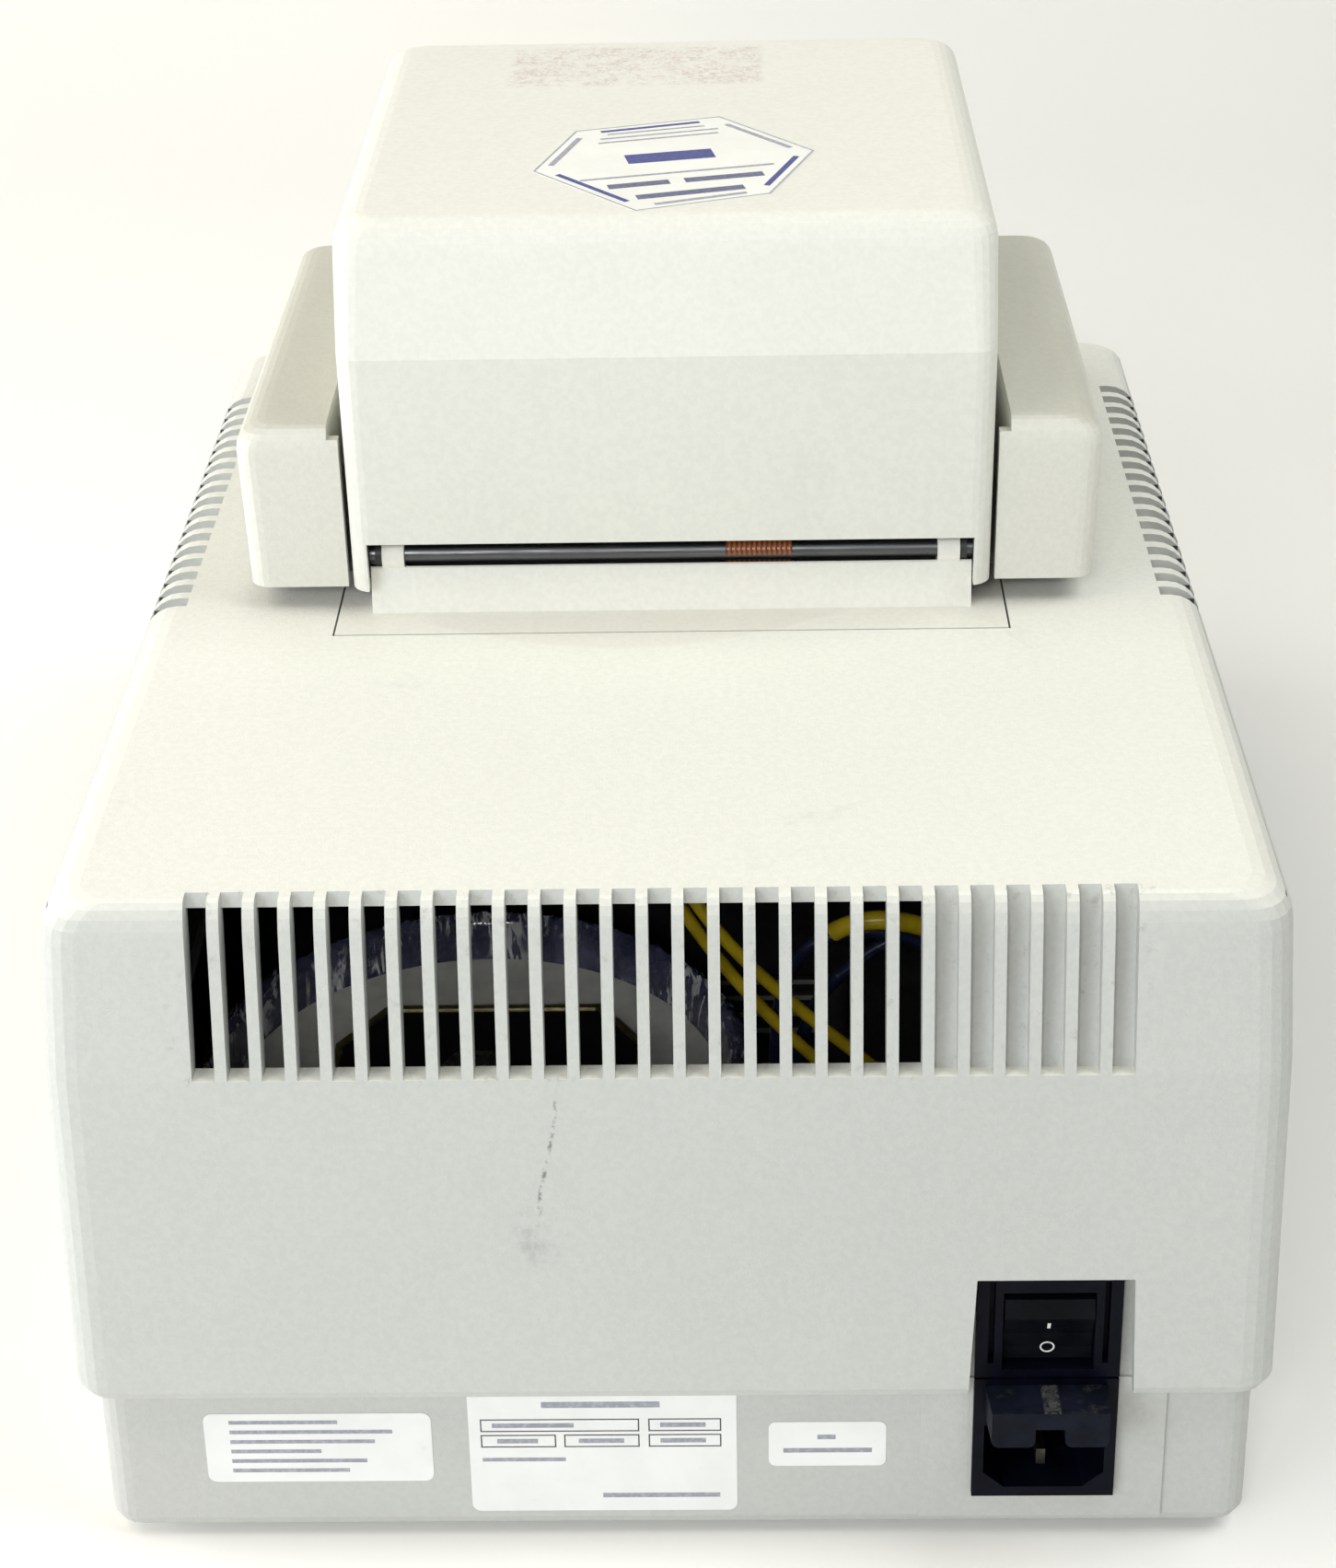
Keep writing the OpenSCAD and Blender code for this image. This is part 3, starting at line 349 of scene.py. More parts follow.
def rubber(name, colour):
    """Dull rubber with a grainy skin."""
    s = Shader(name)
    tone = s.mix(s.band(s.noise(150, 5), 0.35, 0.7), colour, [c * 1.6 + 0.01 for c in colour])
    normal = s.bump(s.noise(1100, 4), 0.0001)
    return s.set(Base_Color=tone, Roughness=0.82, Normal=normal).material


def circuit_board(name):
    """Green solder mask with lighter track cells and small bright solder points."""
    s = Shader(name)
    cells = s.voronoi(170, feature="DISTANCE_TO_EDGE")
    tone = s.mix(s.band(cells, 0.10, 0.16), (0.05, 0.20, 0.09), (0.015, 0.085, 0.04))
    points = s.band(s.voronoi(330), 0.16, 0.10)
    tone = s.stain(tone, points, s.band(s.noise(60), 0.45, 0.55), (0.55, 0.54, 0.48))
    return s.set(Base_Color=tone, Roughness=0.32, Normal=s.bump(cells, 0.00008)).material


def wire_sleeve(name, colour):
    """Soft shiny insulation with dust on it."""
    s = Shader(name)
    tone = s.mix(s.band(s.noise(140, 5), 0.35, 0.7), colour, [c * 0.72 for c in colour])
    film = s.band(s.noise(480, 6, 0.7), 0.58, 0.70)
    tone = s.stain(tone, film, 0.25, (0.35, 0.33, 0.28))
    return s.set(Base_Color=tone, Roughness=0.28, Normal=s.bump(s.noise(260, 3), 0.00008)).material


def film_wrap(name):
    """Glossy blue-black film over copper, with a little copper showing and painted highlights: pale streaks
    in the colour, stronger towards the top, where folds would catch the light.
    """
    s = Shader(name)
    tone = s.mix(s.band(s.noise(70, 5, 0.6, 0.8), 0.35, 0.7), (0.036, 0.044, 0.105), (0.13, 0.14, 0.25))
    copper = s.band(s.noise(210, 4, 0.7), 0.62, 0.72)
    tone = s.stain(tone, copper, 0.5, (0.26, 0.10, 0.05))
    # painted highlights: pale streaks laid into the film's colour, mostly on the coil's upper part
    highlight_streaks = s.band(s.noise(1.0, 5, 0.6, 1.6, vector=s.stretch((420, 110, 60))), 0.51, 0.59)
    painted_glints = s.times(highlight_streaks, s.band(s.noise(46, 3), 0.42, 0.52))
    painted_highlight = s.times(painted_glints, s.band(s.axis("Z"), 0.058, 0.070, 0.1, 0.95))
    tone = s.mix(painted_highlight, tone, (0.90, 0.92, 0.96))
    crinkle = s.noise(330, 6, 0.65, 2.4)
    coarse = s.noise(95, 4, 0.6, 1.4)
    normal = s.bump(s.plus(s.times(crinkle, 0.4), coarse), 0.0020)
    s.set(Base_Color=tone, Roughness=0.13, Normal=normal, Coat_Weight=0.8, Coat_Roughness=0.06)
    return s.material


def ribbon(name):
    """Copper-brown polyimide with tracks running along it."""
    s = Shader(name)
    tracks = s.math("SINE", s.times(s.axis("X"), 5200))
    tone = s.mix(s.band(tracks, -0.2, 0.3), (0.15, 0.040, 0.012), (0.30, 0.10, 0.035))
    tone = s.stain(tone, s.band(s.noise(400, 5), 0.5, 0.7), 0.5, (0.18, 0.06, 0.03))
    return s.set(Base_Color=tone, Roughness=0.24, Normal=s.bump(tracks, 0.00003)).material


def ceramic(name):
    """White alumina."""
    s = Shader(name)
    tone = s.mix(s.band(s.noise(200, 5), 0.4, 0.7), (0.80, 0.78, 0.73), (0.70, 0.68, 0.62))
    return s.set(Base_Color=tone, Roughness=0.5, Normal=s.bump(s.noise(1200), 0.00004)).material


def clear_window(name):
    """Clear sheet with a slight haze."""
    s = Shader(name)
    haze = s.band(s.noise(120, 6), 0.45, 0.75, 0.05, 0.14)
    return s.set(Base_Color=(0.86, 0.90, 0.88, 1), Roughness=haze, Transmission_Weight=1.0, IOR=1.49,
                 Normal=s.bump(s.noise(45, 3), 0.00004)).material


def lcd_glass(name):
    """Grey-green liquid crystal cell with a faint dot grid."""
    s = Shader(name)
    grid_x = s.math("SINE", s.times(s.axis("X"), 9000))
    grid_z = s.math("SINE", s.times(s.axis("Z"), 11600))
    grid = s.band(s.times(grid_x, grid_z), -0.2, 0.5)
    cloud = s.band(s.noise(24, 3), 0.3, 0.7)
    tone = s.mix(cloud, (0.21, 0.27, 0.16), (0.26, 0.32, 0.19))
    tone = s.stain(tone, grid, 0.12, (0.12, 0.16, 0.09))
    return s.set(Base_Color=tone, Roughness=0.25, Normal=s.bump(grid, 0.00001)).material


def paper_label(name, colour=(0.86, 0.87, 0.86), roughness=0.42):
    """Aged label stock with faint stains."""
    s = Shader(name)
    tone = s.mix(s.band(s.noise(60, 5), 0.35, 0.75), colour, [c * 0.93 for c in colour])
    stains = s.band(s.noise(110, 7, 0.7), 0.64, 0.76)
    tone = s.stain(tone, stains, 0.25, (0.50, 0.45, 0.38))
    return s.set(Base_Color=tone, Roughness=roughness, Normal=s.bump(s.noise(500, 4), 0.00003)).material


def ink(name, colour):
    """Flat print that thins a little in places."""
    s = Shader(name)
    tone = s.mix(s.band(s.noise(900, 4), 0.4, 0.7), colour, [min(1, c * 1.3 + 0.02) for c in colour])
    return s.set(Base_Color=tone, Roughness=0.5, Normal=s.bump(s.noise(2000), 0.00001)).material


def make_materials():
    # each moulded look's second colour is painted light or shade on its faces that point up
    cover = (0.565, 0.580, 0.555)
    # painted light: the cover's up-facing faces are much lighter than its sides
    cover_painted_top_light = (0.850, 0.842, 0.775)
    return {
        "cover": moulded_plastic("cover_plastic_look", cover, cover_painted_top_light, marks=cover_marks),
        "insert": moulded_plastic("insert_plastic_look", (0.64, 0.64, 0.60), (0.80, 0.79, 0.72),
                                  marks=strip_stain),
        "base": moulded_plastic("base_plastic_look", (0.545, 0.555, 0.533), (0.60, 0.60, 0.56),
                                marks=base_marks),
        "hood": moulded_plastic("hood_plastic_look", (0.770, 0.772, 0.718), (0.79, 0.78, 0.722),
                                grain=0.00004, marks=hood_marks),
        # painted shade: the cheek's up-facing faces are darker than its sides
        "cheek": moulded_plastic("cheek_plastic_look", (0.745, 0.747, 0.680), (0.540, 0.526, 0.452)),
        "strip": moulded_plastic("strip_plastic_look", (0.85, 0.845, 0.785), (0.87, 0.86, 0.81),
                                 grain=0.00002),
        "inlet": inlet_plastic("inlet_plastic_look"),
        "drawer": inlet_plastic("drawer_plastic_look", (0.0036, 0.0048, 0.0100), 0.46, scuffed=True),
        "rocker": inlet_plastic("rocker_plastic_look", (0.0022, 0.0028, 0.0042), 0.24),
        "black": inlet_plastic("black_plastic_look", (0.02, 0.02, 0.022), 0.5),
        "blue": moulded_plastic("slate_plastic_look", (0.085, 0.105, 0.16), (0.095, 0.115, 0.17),
                                roughness=0.45),
        "key": moulded_plastic("key_plastic_look", (0.62, 0.63, 0.61), (0.64, 0.65, 0.62), grain=0.00002),
        "start": moulded_plastic("start_key_look", (0.06, 0.30, 0.10), (0.06, 0.30, 0.10), grain=0.00002),
        "stop": moulded_plastic("stop_key_look", (0.45, 0.05, 0.04), (0.45, 0.05, 0.04), grain=0.00002),
        "steel": metal("steel_look", (0.60, 0.60, 0.59), 0.30),
        # painted shade: the hinge rod is given a dark colour for the shade it sits in inside the hinge slot
        "rod": metal("rod_painted_shade_look", (0.15, 0.155, 0.165), 0.34, brushed="x"),
        "aluminium": metal("aluminium_look", (0.74, 0.75, 0.76), 0.36, brushed="y"),
        # near black metal for the inlet pins
        "pin": metal("dark_pin_look", (0.09, 0.085, 0.075), 0.40),
        "sink": metal("heat_sink_look", (0.13, 0.13, 0.14), 0.5, brushed="y"),
        "spring": metal("spring_look", (0.50, 0.50, 0.50), 0.28),
        "brass": metal("brass_look", (0.80, 0.72, 0.38), 0.34),
        "dark_steel": painted("dark_steel_look", (0.030, 0.032, 0.036)),
        "washer": painted("washer_look", (0.74, 0.745, 0.71), 0.55),
        "plate": painted("plate_look", (0.010, 0.010, 0.011), 0.22),
        "foot": rubber("foot_rubber_look", (0.02, 0.02, 0.02)),
        "mat": rubber("heater_mat_look", (0.55, 0.16, 0.05)),
        "board": circuit_board("board_look"),
        "yellow": wire_sleeve("earth_wire_look", (0.62, 0.46, 0.015)),
        "navy": wire_sleeve("mains_wire_look", (0.012, 0.020, 0.055)),
        "film": film_wrap("film_wrap_look"),
        "flex": ribbon("ribbon_look"),
        "ceramic": ceramic("ceramic_look"),
        "window": clear_window("window_look"),
        "lcd": lcd_glass("lcd_look"),
        "paper": paper_label("label_paper_look"),
        "vinyl": paper_label("sticker_vinyl_look", (0.85, 0.85, 0.81), 0.22),
        "ink_black": ink("ink_black_look", (0.035, 0.035, 0.04)),
        "ink_blue": ink("ink_blue_look", (0.035, 0.045, 0.22)),
        "ink_navy": ink("ink_navy_look", (0.10, 0.11, 0.20)),
        "ink_grey": ink("ink_grey_look", (0.30, 0.31, 0.36)),
        "ink_white": ink("ink_white_look", (0.82, 0.82, 0.80)),
    }


NODE_LOOKS = {
    "top_cover": "cover", "deck_insert": "insert", "base_tub": "base", "hood_shell": "hood",
    "right_cheek": "cheek", "left_cheek": "cheek", "hinge_strip": "strip", "hinge_rod": "rod",
    "hinge_brackets": "dark_steel", "flex_cable": "flex", "latch_strike": "steel", "block_collar": "black",
    "rubber_feet": "foot", "cover_screws": "steel", "inlet_housing": "inlet", "inlet_pins": "pin",
    "inlet_terminals": "brass", "rocker_switch": "rocker", "fuse_drawer": "drawer", "fuses": "steel",
    "coil_pad": "foot", "transformer_coil": "film", "coil_washer": "washer", "coil_plate": "plate",
    "coil_bolt": "steel", "earth_wires": "yellow", "mains_wires": "navy", "power_board": "board",
    "power_parts": "black", "board_standoffs": "brass", "main_board": "board", "main_parts": "black",
    "sample_block": "aluminium", "block_screws": "steel", "peltier_modules": "ceramic", "heat_sink": "sink",
    "sink_pillars": "steel", "fan_housing": "black", "fan_rotor": "black", "fan_screws": "steel",
    "control_panel": "blue", "display_window": "window", "display_module": "lcd", "key_board": "board",
    "key_up": "key", "key_down": "key", "key_left": "key", "key_right": "key", "key_enter": "key",
    "key_exit": "key", "key_start": "start", "key_stop": "stop", "lid_frame": "dark_steel",
    "lid_screws": "steel", "pressure_carrier": "aluminium", "pressure_springs": "spring",
    "heated_plate": "aluminium", "heater_mat": "mat", "guide_pins": "steel", "latch_handle": "blue",
}

# width in mm of the small round put on a node's hard edges
EDGE_ROUNDS = {
    "top_cover": 0.35, "base_tub": 0.4, "hood_shell": 0.5, "right_cheek": 0.4, "left_cheek": 0.4,
    "deck_insert": 0.35, "hinge_strip": 0.35, "inlet_housing": 0.35, "rocker_switch": 0.6, "fuse_drawer": 0.7,
    "control_panel": 0.3, "latch_handle": 0.9, "block_collar": 0.3, "lid_frame": 0.3, "fan_housing": 0.5,
    "coil_plate": 0.25, "power_parts": 0.5, "main_parts": 0.4, "sample_block": 0.25, "heated_plate": 0.4,
    "heater_mat": 0.5, "pressure_carrier": 0.4, "display_module": 0.4, "key_up": 0.6, "key_down": 0.6,
    "key_left": 0.6, "key_right": 0.6, "key_enter": 0.6, "key_exit": 0.6, "key_start": 0.6, "key_stop": 0.6,
}


def smooth_by_angle(obj, degrees):
    """Smooth shading, with edges sharper than the angle kept hard."""
    mesh = obj.data
    mesh.polygons.foreach_set("use_smooth", [True] * len(mesh.polygons))
    mesh.set_sharp_from_angle(angle=math.radians(degrees))


def round_edges(obj, width_mm):
    bevel = obj.modifiers.new("edge_round", "BEVEL")
    bevel.width = width_mm * MM
    bevel.segments = 2
    bevel.limit_method = "ANGLE"
    bevel.angle_limit = math.radians(32)
    bevel.use_clamp_overlap = True
    bevel.harden_normals = True


def dress_cad_nodes(looks):
    """Gives every CAD node its material, smooth shading and small edge rounds."""
    for name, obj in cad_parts.items():
        obj.data.materials.clear()
        obj.data.materials.append(looks[NODE_LOOKS[name]])
        smooth_by_angle(obj, 30)
        if name in EDGE_ROUNDS:
            round_edges(obj, EDGE_ROUNDS[name])


# ---------------------------------------------------------------- mesh helpers

def add_mesh(name, verts_mm, faces, material, body, smooth=None):
    """One mesh that rides on a body. smooth is the angle above which edges stay hard."""
    mesh = bpy.data.meshes.new(name)
    mesh.from_pydata([Vector(v) * MM for v in verts_mm], [], faces)
    mesh.materials.append(material)
    obj = bpy.data.objects.new(name, mesh)
    bpy.context.scene.collection.objects.link(obj)
    bm = bmesh.new()
    bm.from_mesh(mesh)
    bmesh.ops.recalc_face_normals(bm, faces=bm.faces)
    bm.to_mesh(mesh)
    bm.free()
    if smooth is not None:
        smooth_by_angle(obj, smooth)
    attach(obj, body)
    return obj


def add_plate(name, outline, thickness_mm, place, material, body):
    """A thin plate. outline is 2D in mm; place(x, y, out) gives the point in the row frame."""
    n = len(outline)
    verts = [place(x, y, 0) for x, y in outline] + [place(x, y, thickness_mm) for x, y in outline]
    faces = [list(range(n)), [n + i for i in reversed(range(n))]]
    faces += [[i, (i + 1) % n, n + (i + 1) % n, n + i] for i in range(n)]
    return add_mesh(name, verts, faces, material, body)


def add_plates(name, outlines, thickness_mm, place, material, body):
    """Several thin plates in one mesh."""
    verts = []
    faces = []
    for outline in outlines:
        n = len(outline)
        base = len(verts)
        verts += [place(x, y, 0) for x, y in outline] + [place(x, y, thickness_mm) for x, y in outline]
        faces.append([base + i for i in range(n)])
        faces.append([base + n + i for i in reversed(range(n))])
        faces += [[base + i, base + (i + 1) % n, base + n + (i + 1) % n, base + n + i] for i in range(n)]
    return add_mesh(name, verts, faces, material, body)


def rectangle(x0, y0, x1, y1, radius=0.0, steps=5):
    """A rectangle's outline, with round corners if a radius is given."""
    if radius == 0:
        return [(x0, y0), (x1, y0), (x1, y1), (x0, y1)]
    points = []
    for cx, cy, start in ((x1 - radius, y0 + radius, -90), (x1 - radius, y1 - radius, 0),
                          (x0 + radius, y1 - radius, 90), (x0 + radius, y0 + radius, 180)):
        for i in range(steps + 1):
            a = math.radians(start + 90 * i / steps)
            points.append((cx + radius * math.cos(a), cy + radius * math.sin(a)))
    return points


def frame_strips(x0, y0, x1, y1, width):
    """Four bars that make a rectangle's outline."""
    return [
        rectangle(x0, y0, x1, y0 + width), rectangle(x0, y1 - width, x1, y1),
        rectangle(x0, y0 + width, x0 + width, y1 - width), rectangle(x1 - width, y0 + width, x1, y1 - width),
    ]


def outline_band(points, inset, width):
    """Quads that follow a closed polygon inside its edge, one per side."""
    centre = (sum(p[0] for p in points) / len(points), sum(p[1] for p in points) / len(points))

    def pulled(p, amount):
        dx, dy = centre[0] - p[0], centre[1] - p[1]
        length = math.hypot(dx, dy)
        return (p[0] + dx / length * amount, p[1] + dy / length * amount)

    outer = [pulled(p, inset) for p in points]
    inner = [pulled(p, inset + width) for p in points]
    return [[outer[i], outer[(i + 1) % len(points)], inner[(i + 1) % len(points)], inner[i]]
            for i in range(len(points))]


def ring(cx, cy, rx, ry, width, steps=40):
    """Quads that make an elliptical ring."""
    quads = []
    for i in range(steps):
        a, b = 2 * math.pi * i / steps, 2 * math.pi * (i + 1) / steps
        quads.append([
            (cx + rx * math.cos(a), cy + ry * math.sin(a)), (cx + rx * math.cos(b), cy + ry * math.sin(b)),
            (cx + (rx - width) * math.cos(b), cy + (ry - width) * math.sin(b)),
            (cx + (rx - width) * math.cos(a), cy + (ry - width) * math.sin(a)),
        ])
    return quads


def add_tube(name, path_mm, radius_mm, material, body, sides=14):
    """A smooth round tube along a path, closed at both ends."""
    points = [Vector(p) for p in path_mm]
    verts = []
    faces = []
    side = Vector((0.3, 0.2, 0.93))
    for i, p in enumerate(points):
        ahead = (points[min(i + 1, len(points) - 1)] - points[max(i - 1, 0)]).normalized()
        side = (side - ahead * side.dot(ahead)).normalized()
        up = ahead.cross(side)
        for k in range(sides):
            a = 2 * math.pi * k / sides
            verts.append(p + radius_mm * (math.cos(a) * side + math.sin(a) * up))
    for i in range(len(points) - 1):
        for k in range(sides):
            a, b = i * sides + k, i * sides + (k + 1) % sides
            faces.append([a, b, b + sides, a + sides])
    faces.append(list(range(sides)))
    faces.append([(len(points) - 1) * sides + k for k in reversed(range(sides))])
    return add_mesh(name, verts, faces, material, body, smooth=40)


def bezier(a, b, c, d, steps=36):
    """Points on a cubic curve from a to d."""
    a, b, c, d = Vector(a), Vector(b), Vector(c), Vector(d)
    points = []
    for i in range(steps + 1):
        t = i / steps
        s = 1 - t
        points.append(s**3 * a + 3 * s * s * t * b + 3 * s * t * t * c + t**3 * d)
    return points


# ---------------------------------------------------------------- places on the machine

def on_rear_wall(x, up, out):
    """x in the row frame, up along the base's leaning rear wall from its lower edge, out of the wall."""
    y = BASE_REAR_Y - up * math.sin(BASE_LEAN) + out * math.cos(BASE_LEAN)
    z = BASE_BOTTOM_Z + up * math.cos(BASE_LEAN) + out * math.sin(BASE_LEAN)
    return (x, y, z)


def on_inlet(x, up, out):
    """The power module's own frame: x from its middle, up from its lower edge, out of the wall."""
    foot_y = BASE_REAR_Y - (INLET_Z - BASE_BOTTOM_Z) * math.tan(BASE_LEAN)
    y = foot_y - up * math.sin(BASE_LEAN) + out * math.cos(BASE_LEAN)
    z = INLET_Z + up * math.cos(BASE_LEAN) + out * math.sin(BASE_LEAN)
    return (INLET_X + x, y, z)


def on_slope(x, up, out):
    """The control slope's frame: x in the row frame, up along the slope from its middle, out of it."""
    y = SLOPE_MID[1] + up * math.cos(SLOPE_ANGLE) - out * math.sin(SLOPE_ANGLE)
    z = SLOPE_MID[2] + up * math.sin(SLOPE_ANGLE) + out * math.cos(SLOPE_ANGLE)
    return (x, y, z)


def lifted(place, amount):
    """The same place, raised off its surface."""
    return lambda x, y, out: place(x, y, out + amount)


# ---------------------------------------------------------------- labels and marks

def add_labels(looks):
    """Blank labels with unlettered bars on the base's rear wall."""
    wall = lifted(on_rear_wall, FLOAT)
    printed = lifted(on_rear_wall, FLOAT + PAPER)

    add_plate("label_left", rectangle(53.4, 13.4, 103.6, 31.8, 2), PAPER, wall, looks["paper"], "housing")
    rows = [(98, 74, 29), (98, 62, 26.4), (98, 66, 23.8), (98, 78, 21.2), (98, 68, 18.6), (98, 72, 16)]
    bars = [rectangle(right, y, left, y + 1.0) for left, right, y in rows]
    add_plates("label_left_bars", bars, INK, printed, looks["ink_grey"], "housing")

    add_plate("label_rating", rectangle(-13.8, 5.0, 45.2, 46.0, 2), PAPER, wall, looks["paper"], "housing")
    boxes = frame_strips(7.6, 26.6, 42.6, 30.0, 0.3) + frame_strips(-10.4, 26.6, 5.6, 30.0, 0.3)
    boxes += frame_strips(26.0, 22.4, 42.6, 25.8, 0.3) + frame_strips(7.6, 22.4, 24.2, 25.8, 0.3)
    boxes += frame_strips(-10.4, 22.4, 5.6, 25.8, 0.3)
    add_plates("label_rating_boxes", boxes, INK, printed, looks["ink_black"], "housing")
    bars = [rectangle(3, 33.0, 29, 34.6), rectangle(22, 27.7, 40, 28.9), rectangle(-7, 27.7, 3, 28.9),
            rectangle(30, 23.5, 39, 24.7), rectangle(11, 23.5, 21, 24.7), rectangle(-7, 23.5, 3, 24.7),
            rectangle(24, 18.6, 42.4, 19.6), rectangle(-10, 8.6, 16, 9.8)]
    add_plates("label_rating_bars", bars, INK, printed, looks["ink_grey"], "housing")

    add_plate("label_fuse", rectangle(-46.6, 17.0, -20.8, 28.8, 1.6), PAPER, wall, looks["paper"], "housing")
    bars = [rectangle(-35.5, 24.2, -31.5, 25.4), rectangle(-43.5, 20.6, -24, 21.8)]
    add_plates("label_fuse_bars", bars, INK, printed, looks["ink_grey"], "housing")


def stroke(start, end, width):
    """A straight bar from one point to another."""
    along = (Vector(end) - Vector(start)).normalized()
    side = Vector((-along.y, along.x)) * width / 2
    return [tuple(Vector(p) + way * side) for p, way in ((start, 1), (end, 1), (end, -1), (start, -1))]


def side_strokes(corners, inset, width, reach):
    """One centred bar along every side of a closed shape, kept inside its edge."""
    centre = sum((Vector(c) for c in corners), Vector((0, 0))) / len(corners)
    bars = []
    for a, b in zip(corners, corners[1:] + corners[:1]):
        a, b = Vector(a), Vector(b)
        inward = (centre - (a + b) / 2).normalized() * inset
        bars.append(stroke(a.lerp(b, 0.5 - reach) + inward, a.lerp(b, 0.5 + reach) + inward, width))
    return bars


def add_hood_sticker(looks):
    """Plain six-sided sticker on the hood's top, with unlettered bars and a blank blue panel."""
    corners = [(31.8, 11.6), (22.8, -19.2), (-12.9, -29.3), (-35.8, -1.1), (-24.8, 30.3), (6.6, 41.1)]
    thick = 0.03
    top = lambda x, y, out: (x, y, HOOD_TOP_Z - 0.02 + out)
    printed = lifted(top, 0.13)
    add_plate("hood_sticker", corners, 0.14, top, looks["vinyl"], "lid")
    bars = side_strokes(corners, 2.9, 1.5, 0.34)
    add_plates("hood_sticker_edge_blue", bars[1::2], thick, printed, looks["ink_blue"], "lid")
    add_plates("hood_sticker_edge_grey", bars[0::2] + outline_band(corners, 0.15, 0.6), thick, printed,
               looks["ink_grey"], "lid")
    headings = [stroke((6.5, 31.6), (-18.6, 25.1), 3.2), stroke((13.4, 24.0), (-1.0, 20.6), 3.2),
                stroke((-4.6, 19.8), (-23.2, 15.6), 3.2)]
    add_plates("hood_sticker_headings", headings, thick, printed, looks["ink_navy"], "lid")
    panel = [stroke((9.6, 3.8), (-11.3, -0.4), 6.8)]
    add_plates("hood_sticker_panel", panel, thick, printed, looks["ink_blue"], "lid")
    lines = [stroke((20.1, 19.0), (-25.8, 8.6), 1.2), stroke((16.7, -9.0), (-12.5, -16.2), 1.0),
             stroke((16.4, -12.2), (-12.5, -19.4), 1.0), stroke((14.8, -15.8), (-9.1, -21.8), 1.0)]
    add_plates("hood_sticker_lines", lines, thick, printed, looks["ink_grey"], "lid")


def on_rocker(x, down, out):
    """down is the way along the rocker's front from its ridge, out is off that face."""
    for (out_a, up_a), (out_b, up_b) in zip(ROCKER_FACE, ROCKER_FACE[1:]):
        length = math.hypot(out_b - out_a, up_b - up_a)
        if down <= length:
            break
        down -= length
    step_out, step_up = (out_b - out_a) / length, (up_b - up_a) / length
    off_wall = ROCKER_PIVOT[0] + out_a + step_out * down - step_up * out
    up = ROCKER_PIVOT[1] + up_a + step_up * down + step_out * out
    return on_inlet(x, up, off_wall)


def add_switch_marks(looks):
    """Generic on and off marks on the rocker's front."""
    face = lifted(on_rocker, FLOAT)
    add_plates("switch_mark_on", [rectangle(-0.35, 1.9, 0.35, 2.95), rectangle(-0.35, 3.05, 0.35, 4.0)], 0.05,
               face, looks["ink_white"], "rocker")
    add_plates("switch_mark_off", ring(0, 10.0, 1.6, 1.5, 0.34), 0.05, face, looks["ink_white"], "rocker")


def add_control_graphics(looks):
    """Arrow and bar symbols on the keys, and a plain step curve on the display."""
    for name, (kx, ky) in KEYS.items():
        place = lambda x, y, out, kx=kx, ky=ky: on_slope(kx + x, ky + y, KEY_TOP + out)
        shapes = {
            "key_up": [[(-2, -1.2), (2, -1.2), (0, 1.8)]],
            "key_down": [[(-2, 1.2), (0, -1.8), (2, 1.2)]],
            "key_left": [[(1.2, -2), (1.2, 2), (-1.8, 0)]],
            "key_right": [[(-1.2, -2), (1.8, 0), (-1.2, 2)]],
            "key_enter": ring(0, 0, 1.9, 1.9, 0.6),
            "key_exit": [rectangle(-2.4, -0.4, 2.4, 0.4)],
            "key_start": [[(-1.4, -2), (2, 0), (-1.4, 2)]],
            "key_stop": [rectangle(-1.7, -1.7, 1.7, 1.7)],
        }
        colour = looks["ink_white"] if name in ("key_start", "key_stop") else looks["ink_black"]
        add_plates(name + "_symbol", shapes[name], 0.05, place, colour, name)
    screen = lifted(on_slope, DISPLAY_FACE)
    steps = [(-70, -8), (-62, 14), (-52, 2), (-44, 8), (-36, 14), (-26, 2), (-18, 8), (-10, 14), (0, -4),
             (12, -4)]
    half = 0.35
    quads = []
    for (x0, y0), (x1, y1) in zip(steps, steps[1:]):
        quads.append(rectangle(x0, y0 - half, x1, y0 + half))
        quads.append(rectangle(x1 - half, min(y0, y1), x1 + half, max(y0, y1)))
    quads += frame_strips(-76, -13, 17, 20, 0.4)
    add_plates("display_trace", quads, INK, screen, looks["ink_black"], "housing")


# ---------------------------------------------------------------- pieces that replace plain CAD solids

